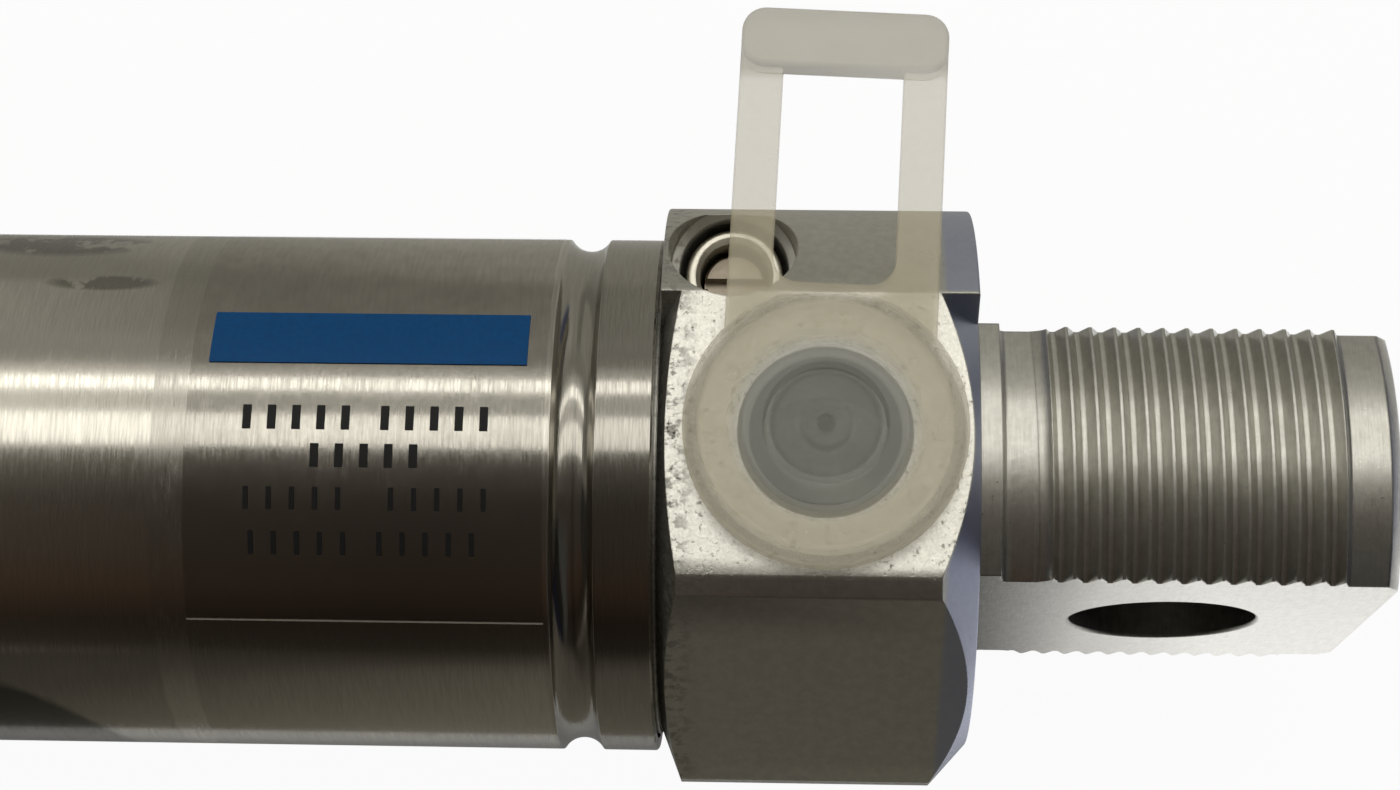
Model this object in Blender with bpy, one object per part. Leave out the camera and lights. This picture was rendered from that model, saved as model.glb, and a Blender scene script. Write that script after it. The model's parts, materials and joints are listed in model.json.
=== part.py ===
"""Round double-acting pneumatic cylinder with adjustable cushioning at both ends.

The cylinder's axis is X. The rear end face is at X = 0, the rod comes out towards +X,
and both air ports open towards +Z. Lengths are in metres; the rod is drawn retracted.
"""

import math

import bmesh
import bpy
from mathutils import Matrix, Vector

MM = 0.001
FULL_TURN = 2.0 * math.pi

# Clearances
SEAT_GAP = 0.3 * MM            # between pieces that seat on each other
RUN_GAP = 0.15 * MM            # round the rod in its bush

# Facets
BODY_SIDES = 30                # barrel and caps
INNER_SIDES = 20               # rod, piston and rings
SMALL_SIDES = 16               # screws and small holes
DRILL_SIDES = 12               # narrow passages
SECTION_SIDES = 6              # section of an O-ring
HEXAGON_SIDES = 6
SHARP_ANGLE = math.radians(35.0)

# Barrel: a thin tube rolled into a groove of each cap
BORE = 32.0 * MM
BARREL_WALL = 0.8 * MM
STROKE = 250.0 * MM
ROLL_OFFSET = 5.15 * MM        # centre of the rolled groove, from the cap's collar
ROLL_DEPTH = 0.86 * MM
ROLL_WIDTH = 3.0 * MM
ROLL_STEPS = 4
ROLL_FLOOR_WIDTH = 1.1 * MM    # floor of the cap groove that the wall is rolled into

# Cap collar, the same at both ends
COLLAR_DIAMETER = 37.8 * MM
COLLAR_LENGTH = 19.55 * MM
ACROSS_FLATS = 33.4 * MM
FLAT_TURNS = (0, 1, 2, 3, 4)   # sixths of a turn from the port; the cushion screw's lobe stays round
END_CHAMFER = 0.45 * MM        # axial length of an end chamfer at the middle of a flat
BARREL_SIDE_CHAMFER = 1.3 * MM  # the same at a flat's corners
STEM_SIDE_CHAMFER = 2.4 * MM
CHAMFER_OVERRUN = 0.1 * MM
TOOL_REACH = 1.5 * MM          # how far a cutting tool runs past the material
TOOL_PLAY = 0.05 * MM          # keeps neighbouring milling tools apart

# Cap spigot inside the barrel
SPIGOT_LENGTH = 14.25 * MM
BARREL_RING_OFFSET = 9.8 * MM  # barrel O-ring, from the collar
BARREL_RING_SECTION = 1.3 * MM
RING_PLAY = 0.7 * MM           # how much wider a groove is than its O-ring
SEAL_SEAT_DIAMETER = 20.6 * MM
SEAL_SEAT_DEPTH = 4.2 * MM
SEAL_LIP_LENGTH = 1.2 * MM
SEAL_WALL = 1.0 * MM

# Cushioning
CUSHION_DIAMETER = 15.2 * MM   # spigot that plugs the chamber near the end of the stroke
CUSHION_LENGTH = 16.0 * MM
CUSHION_LEAD = 1.2 * MM
CHAMBER_DIAMETER = 16.4 * MM
CHAMBER_DEPTH = 15.65 * MM     # chamber floor, from the collar's barrel side

# Air port
PORT_OFFSET = 10.15 * MM       # port centre, from the collar's barrel side
PORT_DIAMETER = 9.8 * MM
PORT_MOUTH_DIAMETER = 10.5 * MM
PORT_MOUTH_DEPTH = 0.35 * MM

# Cushion screw, parallel to the port
SCREW_OFFSET = 4.35 * MM       # screw centre, from the collar's barrel side
SCREW_SIDE = -12.6 * MM        # screw centre, sideways from the cylinder's axis
COUNTERBORE_DIAMETER = 8.1 * MM
COUNTERBORE_FLOOR = 9.6 * MM   # heights are measured from the cylinder's axis
COUNTERBORE_SLOPE = 0.6        # of the step at its floor, axial over radial
SLEEVE_BORE_DIAMETER = 7.0 * MM
SLEEVE_DIAMETER = 6.2 * MM
SLEEVE_HOLE_DIAMETER = 4.5 * MM
SLEEVE_TOP = 8.3 * MM
SLEEVE_LENGTH = 6.0 * MM
SLEEVE_EDGE = 0.15 * MM
SCREW_DIAMETER = 4.0 * MM
SCREW_HOLE_DIAMETER = 4.6 * MM
SCREW_TOP = 6.5 * MM
SCREW_LENGTH = 9.7 * MM
SCREW_RING_HEIGHT = 0.3 * MM
SCREW_RING_SECTION = 0.9 * MM
SCREW_RING_SINK = 0.06 * MM    # how far the screw's O-ring stays below its surface
SLOT_WIDTH = 0.7 * MM
SLOT_DEPTH = 0.9 * MM
NEEDLE_DIAMETER = 2.4 * MM
NEEDLE_TIP_DIAMETER = 1.2 * MM
NEEDLE_LENGTH = 2.2 * MM
SEAT_HOLE_DIAMETER = 2.0 * MM
SEAT_HOLE_DEPTH = 2.6 * MM
BLEED_DIAMETER = 2.0 * MM      # passages from barrel to screw and from screw to chamber
BLEED_HEIGHT = -2.6 * MM
BLEED_SIDE = -11.6 * MM

# Threaded stems: the rear tongue and the front neck share one thread
THREAD_DIAMETER = 30.0 * MM
RELIEF_DIAMETER = 28.2 * MM
RELIEF_LENGTH = 2.6 * MM
PILOT_DIAMETER = 31.0 * MM
PILOT_LENGTH = 1.4 * MM
THREAD_LEAD = 0.9 * MM
TONGUE_LENGTH = 25.8 * MM
TONGUE_THICKNESS = 16.0 * MM
TONGUE_LAND_DIAMETER = 28.0 * MM
TONGUE_LAND_LENGTH = 3.1 * MM
TONGUE_EDGE = 0.7 * MM
EYE_DIAMETER = 12.0 * MM
EYE_FROM_END = 13.0 * MM
EYE_EDGE = 0.15 * MM
NECK_LENGTH = 27.0 * MM

# Rod and what guides it
ROD_DIAMETER = 12.0 * MM
ROD_REACH = 34.0 * MM          # rod shoulder beyond the front collar when retracted
ROD_THREAD_DIAMETER = 10.0 * MM
ROD_THREAD_LENGTH = 22.0 * MM
ROD_THREAD_LEAD = 1.0 * MM
ROD_FLATS = 10.0 * MM
ROD_FLATS_LENGTH = 5.5 * MM
ROD_EDGE = 0.5 * MM
STEM_INSERTION = 9.0 * MM      # rod stem inside the rear cushion spigot
BUSH_WALL = 0.85 * MM
BUSH_LENGTH = 20.0 * MM
WIPER_SEAT_DIAMETER = 19.8 * MM
WIPER_SEAT_DEPTH = 7.0 * MM
WIPER_LIP = 0.8 * MM           # height of the lips, and how far the wiping one stands out

# Piston
PISTON_HALF = 12.0 * MM
PISTON_DIAMETER = 31.2 * MM
PISTON_HUB_DIAMETER = 20.8 * MM
MAGNET_LENGTH = 7.6 * MM
GUIDE_WALL = 1.25 * MM
RING_TO_BARREL = 0.25 * MM     # guide ring and seal lips, inside the barrel
PISTON_LAND = 1.4 * MM
PISTON_SEAL_LENGTH = 3.8 * MM
PISTON_SEAL_DEPTH = 3.65 * MM
SEAL_LIP = 0.65 * MM
BUMPER_INNER = 20.6 * MM
BUMPER_OUTER = 26.4 * MM
BUMPER_SEAT = 1.2 * MM
BUMPER_STAND = 0.8 * MM
CUSHION_FLANGE_DIAMETER = 16.6 * MM
CUSHION_FLANGE = 1.5 * MM
STEM_RING_SECTION = 0.8 * MM
STEM_RING_STAND = 0.15 * MM    # how far the ring stands out of its groove in the stem
STEM_RING_DIAMETER = ROD_THREAD_DIAMETER + 2.0 * STEM_RING_STAND - STEM_RING_SECTION
SOCKET_DIAMETER = 5.8 * MM
SOCKET_DEPTH = 3.0 * MM

# Nuts
MOUNTING_NUT_WALL = 3.0 * MM   # from the thread to a flat
MOUNTING_NUT_FLATS = THREAD_DIAMETER + 2.0 * MOUNTING_NUT_WALL
MOUNTING_NUT_LENGTH = 8.0 * MM
MOUNTING_NUT_FROM_COLLAR = 6.0 * MM
ROD_NUT_WALL = 3.5 * MM
ROD_NUT_FLATS = ROD_THREAD_DIAMETER + 2.0 * ROD_NUT_WALL
ROD_NUT_LENGTH = 5.0 * MM
ROD_NUT_FROM_SHOULDER = 4.0 * MM
NUT_CROWN = 0.475              # radius of a nut's face over its width across flats
NUT_CHAMFER_SLOPE = 0.58       # axial over radial, a 30 degree chamfer

# Port plug
FLANGE_DIAMETER = 17.2 * MM
FLANGE_THICKNESS = 1.9 * MM
FLANGE_BEVEL = 0.5 * MM
PLUG_STEM_LENGTH = 7.0 * MM
PLUG_STEM_TAPER = 0.2 * MM
PLUG_WALL = 0.9 * MM
PLUG_SKIN = 1.0 * MM           # top skin over the hollow stem
PLUG_RING_DIAMETER = 6.8 * MM
PLUG_DISH_DEPTH = 0.3 * MM
PLUG_NUB_DIAMETER = 3.4 * MM
PLUG_TURN = math.radians(-2.4)  # as it was pressed in
LOOP_WIDTH = 12.85 * MM
LOOP_REACH = 26.6 * MM         # plug centre to the grip's far side
LOOP_ARM = 2.7 * MM
LOOP_THICKNESS = 1.0 * MM
WINDOW_CORNER = 1.6 * MM
GRIP_DEPTH = 3.9 * MM
GRIP_THICKNESS = 1.8 * MM
GRIP_CORNER = 1.5 * MM
CORNER_STEPS = 3

# Places along the axis, worked out from the sizes above
REAR_FACE = TONGUE_LENGTH + COLLAR_LENGTH
PISTON_LENGTH = 2.0 * (PISTON_HALF + BUMPER_STAND)
PISTON_MIDDLE = REAR_FACE + SPIGOT_LENGTH + SEAT_GAP + 0.5 * PISTON_LENGTH
FRONT_FACE = REAR_FACE + 2.0 * SPIGOT_LENGTH + PISTON_LENGTH + STROKE + 2.0 * SEAT_GAP
FRONT_SHOULDER = FRONT_FACE + COLLAR_LENGTH
NECK_END = FRONT_SHOULDER + NECK_LENGTH
ROD_SHOULDER = FRONT_SHOULDER + ROD_REACH
ROD_END = ROD_SHOULDER + ROD_THREAD_LENGTH

# Radii that several pieces share
BORE_RADIUS = 0.5 * BORE
SPIGOT_RADIUS = BORE_RADIUS - SEAT_GAP
COLLAR_RADIUS = 0.5 * COLLAR_DIAMETER
FLAT_DISTANCE = 0.5 * ACROSS_FLATS
THREAD_RADIUS = 0.5 * THREAD_DIAMETER
ROD_RADIUS = 0.5 * ROD_DIAMETER
STEM_RADIUS = 0.5 * ROD_THREAD_DIAMETER
CUSHION_RADIUS = 0.5 * CUSHION_DIAMETER
BUSH_SEAT_RADIUS = ROD_RADIUS + RUN_GAP + BUSH_WALL + SEAT_GAP


def clear_scene():
    for thing in list(bpy.data.objects):
        bpy.data.objects.remove(thing, do_unlink=True)


def make_finish(name, colour, metallic, roughness):
    finish = bpy.data.materials.new(name)
    finish.use_nodes = True
    shader = finish.node_tree.nodes["Principled BSDF"]
    shader.inputs["Base Color"].default_value = (*colour, 1.0)
    shader.inputs["Metallic"].default_value = metallic
    shader.inputs["Roughness"].default_value = roughness
    finish.diffuse_color = (*colour, 1.0)
    return finish


def make_object(name, shape, finish):
    """Turn a bmesh into an object. A piece without a finish is a tool and isn't rendered."""
    bmesh.ops.recalc_face_normals(shape, faces=shape.faces)
    mesh = bpy.data.meshes.new(name)
    shape.to_mesh(mesh)
    shape.free()
    piece = bpy.data.objects.new(name, mesh)
    bpy.context.scene.collection.objects.link(piece)
    if finish is None:
        piece.hide_render = True
        piece.display_type = "WIRE"
        return piece
    mesh.materials.append(finish)
    mesh.shade_smooth()
    mesh.set_sharp_from_angle(angle=SHARP_ANGLE)
    return piece


def turned(name, outline, sides, finish=None, axis="X", start=0.0, sweep=FULL_TURN):
    """Revolve an outline of (place along the axis, radius) points.

    An outline that starts and ends on the axis makes a solid; any other one is closed into a ring.
    """
    shape = bmesh.new()
    along_x = axis == "X"
    spin_axis = Vector((-1.0, 0.0, 0.0)) if along_x else Vector((0.0, 0.0, 1.0))
    points = []
    for place, radius in outline:
        corner = Vector((place, 0.0, radius)) if along_x else Vector((radius, 0.0, place))
        points.append(shape.verts.new(corner))
    edges = [shape.edges.new(pair) for pair in zip(points, points[1:])]
    if outline[0][1] > 0.0 or outline[-1][1] > 0.0:
        edges.append(shape.edges.new((points[-1], points[0])))
    whole = sweep == FULL_TURN
    bmesh.ops.rotate(shape, cent=(0.0, 0.0, 0.0), matrix=Matrix.Rotation(start, 3, spin_axis), verts=points)
    bmesh.ops.spin(
        shape, geom=points + edges, cent=(0.0, 0.0, 0.0), axis=spin_axis,
        angle=sweep, steps=sides, use_merge=whole,
    )
    bmesh.ops.remove_doubles(shape, verts=shape.verts, dist=0.0001 * MM)
    if not whole:
        open_edges = [edge for edge in shape.edges if edge.is_boundary]
        bmesh.ops.holes_fill(shape, edges=open_edges, sides=0)
    return make_object(name, shape, finish)


def flat_tool(name, start, end, distance, turns, half_width):
    """Blocks that mill flats parallel to X, each at the given distance from the axis."""
    shape = bmesh.new()
    depth = half_width + TOOL_REACH
    for turn in turns:
        block = bmesh.ops.create_cube(shape, size=1.0)["verts"]
        bmesh.ops.scale(shape, vec=(end - start, 2.0 * half_width, depth), verts=block)
        centre = (0.5 * (start + end), 0.0, distance + 0.5 * depth)
        bmesh.ops.translate(shape, vec=centre, verts=block)
        spin = Matrix.Rotation(-turn * FULL_TURN, 3, "X")
        bmesh.ops.rotate(shape, cent=(0.0, 0.0, 0.0), matrix=spin, verts=block)
    return make_object(name, shape, None)


def prism(name, corners, bottom, top, finish=None):
    """Extrude a flat outline of (x, y) corners upwards."""
    shape = bmesh.new()
    base = shape.faces.new([shape.verts.new((x, y, bottom)) for x, y in corners])
    grown = bmesh.ops.extrude_face_region(shape, geom=[base])["geom"]
    rim = [part for part in grown if isinstance(part, bmesh.types.BMVert)]
    bmesh.ops.translate(shape, vec=(0.0, 0.0, top - bottom), verts=rim)
    return make_object(name, shape, finish)


def combine(piece, operation, tools):
    for tool in tools:
        step = piece.modifiers.new(tool.name, "BOOLEAN")
        step.operation = operation
        step.solver = "EXACT"
        step.object = tool


def move_mesh(piece, matrix):
    piece.data.transform(matrix)
    return piece


def rounded(centre_x, centre_y, radius, first, last):
    """Corner points of an arc between two angles in degrees."""
    points = []
    for step in range(CORNER_STEPS + 1):
        angle = math.radians(first + (last - first) * step / CORNER_STEPS)
        points.append((centre_x + radius * math.cos(angle), centre_y + radius * math.sin(angle)))
    return points


def rolled_groove(centre, radius):
    """Points of the smooth groove rolled into the barrel wall."""
    points = []
    for step in range(ROLL_STEPS + 1):
        across = 2.0 * step / ROLL_STEPS - 1.0
        dip = 0.5 * ROLL_DEPTH * (1.0 + math.cos(math.pi * across))
        points.append((centre + 0.5 * ROLL_WIDTH * across, radius - dip))
    return points


def o_ring(name, place, mean_radius, section, finish, sides=INNER_SIDES, axis="X"):
    outline = []
    for step in range(SECTION_SIDES):
        angle = FULL_TURN * step / SECTION_SIDES
        along = place + 0.5 * section * math.cos(angle)
        outline.append((along, mean_radius + 0.5 * section * math.sin(angle)))
    return turned(name, outline, sides, finish, axis)


def make_barrel(finish):
    start = REAR_FACE + SEAT_GAP
    end = FRONT_FACE - SEAT_GAP
    outer = BORE_RADIUS + BARREL_WALL
    outline = [(start, outer)]
    inside = [(start, BORE_RADIUS)]
    for centre in (REAR_FACE + ROLL_OFFSET, FRONT_FACE - ROLL_OFFSET):
        outline += rolled_groove(centre, outer)
        inside += rolled_groove(centre, BORE_RADIUS)
    outline.append((end, outer))
    inside.append((end, BORE_RADIUS))
    return turned("cylinder_barrel", outline + inside[::-1], BODY_SIDES, finish)


def stem_outline():
    """The thread's run-out and the pilot behind it, as (distance, radius), from the thread to the collar."""
    relief_end = COLLAR_LENGTH + PILOT_LENGTH + RELIEF_LENGTH
    relief_radius = 0.5 * RELIEF_DIAMETER
    return [
        (relief_end + 0.5 * THREAD_LEAD, THREAD_RADIUS),
        (relief_end, relief_radius),
        (COLLAR_LENGTH + PILOT_LENGTH, relief_radius),
        (COLLAR_LENGTH + PILOT_LENGTH, 0.5 * PILOT_DIAMETER),
        (COLLAR_LENGTH, 0.5 * PILOT_DIAMETER),
    ]


def collar_outline():
    """Collar, spigot, grooves, seal seat and chamber, as (distance from the barrel side, radius)."""
    roll_floor = BORE_RADIUS - ROLL_DEPTH - SEAT_GAP
    roll_half = 0.5 * ROLL_WIDTH + SEAT_GAP
    ring_floor = SPIGOT_RADIUS - BARREL_RING_SECTION - SEAT_GAP
    ring_half = 0.5 * (BARREL_RING_SECTION + RING_PLAY)
    seat = SPIGOT_LENGTH - SEAL_SEAT_DEPTH
    return [
        (COLLAR_LENGTH, COLLAR_RADIUS),
        (0.0, COLLAR_RADIUS),
        (0.0, SPIGOT_RADIUS),
        (-ROLL_OFFSET + roll_half, SPIGOT_RADIUS),
        (-ROLL_OFFSET + 0.5 * ROLL_FLOOR_WIDTH, roll_floor),
        (-ROLL_OFFSET - 0.5 * ROLL_FLOOR_WIDTH, roll_floor),
        (-ROLL_OFFSET - roll_half, SPIGOT_RADIUS),
        (-BARREL_RING_OFFSET + ring_half, SPIGOT_RADIUS),
        (-BARREL_RING_OFFSET + ring_half, ring_floor),
        (-BARREL_RING_OFFSET - ring_half, ring_floor),
        (-BARREL_RING_OFFSET - ring_half, SPIGOT_RADIUS),
        (-SPIGOT_LENGTH, SPIGOT_RADIUS),
        (-SPIGOT_LENGTH, 0.5 * SEAL_SEAT_DIAMETER),
        (-seat, 0.5 * SEAL_SEAT_DIAMETER),
        (-seat, 0.5 * CHAMBER_DIAMETER),
        (CHAMBER_DEPTH, 0.5 * CHAMBER_DIAMETER),
    ]


def rear_cap_outline():
    end = COLLAR_LENGTH + TONGUE_LENGTH
    land = 0.5 * TONGUE_LAND_DIAMETER
    return [
        (end, 0.0),
        (end, land - TONGUE_EDGE),
        (end - TONGUE_EDGE, land),
        (end - TONGUE_LAND_LENGTH, land),
        (end - TONGUE_LAND_LENGTH - THREAD_LEAD, THREAD_RADIUS),
        *stem_outline(),
        *collar_outline(),
        (CHAMBER_DEPTH, 0.0),
    ]


def front_cap_outline():
    end = COLLAR_LENGTH + NECK_LENGTH
    bush_end = CHAMBER_DEPTH + BUSH_LENGTH + 2.0 * SEAT_GAP
    wiper_start = end - WIPER_SEAT_DEPTH
    rod_hole = ROD_RADIUS + 2.0 * SEAT_GAP
    return [
        (end, 0.5 * WIPER_SEAT_DIAMETER),
        (end, THREAD_RADIUS - THREAD_LEAD),
        (end - THREAD_LEAD, THREAD_RADIUS),
        *stem_outline(),
        *collar_outline(),
        (CHAMBER_DEPTH, BUSH_SEAT_RADIUS),
        (bush_end, BUSH_SEAT_RADIUS),
        (bush_end, rod_hole),
        (wiper_start, rod_hole),
        (wiper_start, 0.5 * WIPER_SEAT_DIAMETER),
    ]


def chamfer_tools(name, place):
    """Conical end chamfers of the collar. They stop short of the cushion screw's round lobe."""
    half_angle = math.acos(min(FLAT_DISTANCE / COLLAR_RADIUS, 1.0))
    sweep = FULL_TURN * FLAT_TURNS[-1] / HEXAGON_SIDES + 2.0 * half_angle
    reach = COLLAR_RADIUS + TOOL_REACH
    tools = []
    ends = (
        ("barrel_side", 0.0, -1.0, BARREL_SIDE_CHAMFER),
        ("stem_side", COLLAR_LENGTH, 1.0, STEM_SIDE_CHAMFER),
    )
    for label, end, outward, corner in ends:
        slope = (corner - END_CHAMFER) / (COLLAR_RADIUS - FLAT_DISTANCE)
        base = FLAT_DISTANCE - END_CHAMFER / slope
        section = [
            (place(end + outward * CHAMFER_OVERRUN), base - CHAMFER_OVERRUN / slope),
            (place(end + outward * CHAMFER_OVERRUN), reach),
            (place(end - outward * slope * (reach - base)), reach),
        ]
        tool_name = name + "_chamfer_" + label
        tools.append(turned(tool_name, section, BODY_SIDES, start=-half_angle, sweep=sweep))
    return tools


def port_tool(name, x):
    top = FLAT_DISTANCE + TOOL_REACH
    mouth = 0.5 * PORT_MOUTH_DIAMETER
    outline = [
        (top, 0.0),
        (top, mouth),
        (FLAT_DISTANCE, mouth),
        (FLAT_DISTANCE - PORT_MOUTH_DEPTH, 0.5 * PORT_DIAMETER),
        (0.0, 0.5 * PORT_DIAMETER),
        (0.0, 0.0),
    ]
    return move_mesh(turned(name, outline, INNER_SIDES, axis="Z"), Matrix.Translation((x, 0.0, 0.0)))


def screw_tool(name, x):
    """Stepped hole for the cushion screw, with the needle's seat at its foot."""
    sleeve_floor = SLEEVE_TOP - SLEEVE_LENGTH - SEAT_GAP
    hole_floor = SCREW_TOP - SCREW_LENGTH - 0.5 * NEEDLE_LENGTH
    sleeve_radius = 0.5 * SLEEVE_BORE_DIAMETER
    rim_radius = 0.5 * COUNTERBORE_DIAMETER
    outline = [
        (COLLAR_RADIUS, 0.0),
        (COLLAR_RADIUS, rim_radius),
        (COUNTERBORE_FLOOR, rim_radius),
        (COUNTERBORE_FLOOR - COUNTERBORE_SLOPE * (rim_radius - sleeve_radius), sleeve_radius),
        (sleeve_floor, sleeve_radius),
        (sleeve_floor, 0.5 * SCREW_HOLE_DIAMETER),
        (hole_floor, 0.5 * SCREW_HOLE_DIAMETER),
        (hole_floor, 0.5 * SEAT_HOLE_DIAMETER),
        (hole_floor - SEAT_HOLE_DEPTH, 0.5 * SEAT_HOLE_DIAMETER),
        (hole_floor - SEAT_HOLE_DEPTH, 0.0),
    ]
    tool = turned(name, outline, INNER_SIDES, axis="Z")
    return move_mesh(tool, Matrix.Translation((x, SCREW_SIDE, 0.0)))


def bleed_tools(name, place):
    """Two drilled passages: barrel to screw hole along X, needle seat to chamber along Y."""
    radius = 0.5 * BLEED_DIAMETER
    seat_floor = SCREW_TOP - SCREW_LENGTH - 0.5 * NEEDLE_LENGTH - SEAT_HOLE_DEPTH
    ends = (place(-SPIGOT_LENGTH - TOOL_REACH), place(SCREW_OFFSET))
    drill = [(ends[0], 0.0), (ends[0], radius), (ends[1], radius), (ends[1], 0.0)]
    feed = turned(name + "_feed", drill, DRILL_SIDES)
    move_mesh(feed, Matrix.Translation((0.0, BLEED_SIDE, BLEED_HEIGHT)))
    chamber_height = seat_floor + radius
    drill = [(0.0, 0.0), (0.0, radius), (-SCREW_SIDE, radius), (-SCREW_SIDE, 0.0)]
    cross = turned(name + "_cross", drill, DRILL_SIDES)
    place_cross = Matrix.Translation((place(SCREW_OFFSET), SCREW_SIDE, chamber_height))
    move_mesh(cross, place_cross @ Matrix.Rotation(math.radians(90.0), 4, "Z"))
    return [feed, cross]


def make_cap(name, outline, place, finish):
    """Turn a cap and mill its collar. place() gives X for a distance from the collar's barrel side."""
    cap = turned(name, [(place(u), radius) for u, radius in outline], BODY_SIDES, finish)
    ends = sorted((place(-TOOL_REACH), place(COLLAR_LENGTH + TOOL_REACH)))
    half_width = FLAT_DISTANCE * math.tan(math.pi / HEXAGON_SIDES) - TOOL_PLAY
    turns = [turn / HEXAGON_SIDES for turn in FLAT_TURNS]
    flats = flat_tool(name + "_flats", ends[0], ends[1], FLAT_DISTANCE, turns, half_width)
    tools = [flats, *chamfer_tools(name, place)]
    tools.append(port_tool(name + "_port", place(PORT_OFFSET)))
    tools.append(screw_tool(name + "_screw_hole", place(SCREW_OFFSET)))
    tools += bleed_tools(name + "_bleed", place)
    combine(cap, "DIFFERENCE", tools)
    return cap


def rear_place(distance):
    return REAR_FACE - distance


def front_place(distance):
    return FRONT_FACE + distance


def make_rear_cap(finish):
    cap = make_cap("end_cap", rear_cap_outline(), rear_place, finish)
    tongue = flat_tool(
        "end_cap_tongue", -TOOL_REACH, TONGUE_LENGTH, 0.5 * TONGUE_THICKNESS, (0.25, 0.75), COLLAR_RADIUS)
    half = 0.5 * TONGUE_THICKNESS
    eye = 0.5 * EYE_DIAMETER
    outline = [(-half - TOOL_REACH, 0.0), (-half - TOOL_REACH, eye + EYE_EDGE), (-half, eye + EYE_EDGE),
               (-half + EYE_EDGE, eye)]
    outline += [(-place, radius) for place, radius in reversed(outline)]
    drill = turned("end_cap_eye", outline, INNER_SIDES)
    across = Matrix.Translation((EYE_FROM_END, 0.0, 0.0)) @ Matrix.Rotation(math.radians(90.0), 4, "Z")
    combine(cap, "DIFFERENCE", [tongue, move_mesh(drill, across)])
    return cap


def make_cushion_seal(name, place, finish):
    mouth = -SPIGOT_LENGTH + SEAT_GAP
    back = -SPIGOT_LENGTH + SEAL_SEAT_DEPTH - SEAT_GAP
    outer = 0.5 * SEAL_SEAT_DIAMETER - SEAT_GAP
    lip = CUSHION_RADIUS + SEAT_GAP
    outline = [
        (mouth, lip), (mouth, outer), (back, outer), (back, outer - SEAL_WALL),
        (mouth + SEAL_LIP_LENGTH + SEAT_GAP, outer - SEAL_WALL), (mouth + SEAL_LIP_LENGTH, lip),
    ]
    return turned(name, [(place(u), radius) for u, radius in outline], INNER_SIDES, finish)


def make_sleeve(name, x, finish):
    outer = 0.5 * SLEEVE_DIAMETER
    inner = 0.5 * SLEEVE_HOLE_DIAMETER
    bottom = SLEEVE_TOP - SLEEVE_LENGTH
    outline = [
        (bottom, inner), (bottom, outer), (SLEEVE_TOP - SLEEVE_EDGE, outer),
        (SLEEVE_TOP, outer - SLEEVE_EDGE), (SLEEVE_TOP, inner + SLEEVE_EDGE),
        (SLEEVE_TOP - SLEEVE_EDGE, inner),
    ]
    sleeve = turned(name, outline, SMALL_SIDES, finish, axis="Z")
    sleeve.location = (x, SCREW_SIDE, 0.0)
    return sleeve


def make_cushion_screw(name, x, finish):
    """Slotted needle screw with a groove for its O-ring."""
    radius = 0.5 * SCREW_DIAMETER
    foot = SCREW_TOP - SCREW_LENGTH
    groove = radius - SCREW_RING_SECTION - SEAT_GAP
    groove_half = 0.5 * SCREW_RING_SECTION + SEAT_GAP
    outline = [
        (SCREW_TOP, 0.0), (SCREW_TOP, radius - SLEEVE_EDGE), (SCREW_TOP - SLEEVE_EDGE, radius),
        (SCREW_RING_HEIGHT + groove_half, radius), (SCREW_RING_HEIGHT + groove_half, groove),
        (SCREW_RING_HEIGHT - groove_half, groove), (SCREW_RING_HEIGHT - groove_half, radius),
        (foot, radius), (foot, 0.5 * NEEDLE_DIAMETER),
        (foot - NEEDLE_LENGTH, 0.5 * NEEDLE_TIP_DIAMETER), (foot - NEEDLE_LENGTH, 0.0),
    ]
    screw = turned(name, outline, SMALL_SIDES, finish, axis="Z")
    screw.location = (x, SCREW_SIDE, 0.0)
    half = 0.5 * SLOT_WIDTH
    corners = [
        (-SCREW_DIAMETER, -half), (SCREW_DIAMETER, -half), (SCREW_DIAMETER, half), (-SCREW_DIAMETER, half),
    ]
    slot = prism(name + "_slot", corners, SCREW_TOP - SLOT_DEPTH, SCREW_TOP + TOOL_REACH)
    slot.location = screw.location
    combine(screw, "DIFFERENCE", [slot])
    return screw


def make_screw_ring(name, x, finish):
    mean = 0.5 * (SCREW_DIAMETER - SCREW_RING_SECTION) - SCREW_RING_SINK
    ring = o_ring(name, SCREW_RING_HEIGHT, mean, SCREW_RING_SECTION, finish, SMALL_SIDES, "Z")
    ring.location = (x, SCREW_SIDE, 0.0)
    return ring


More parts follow.
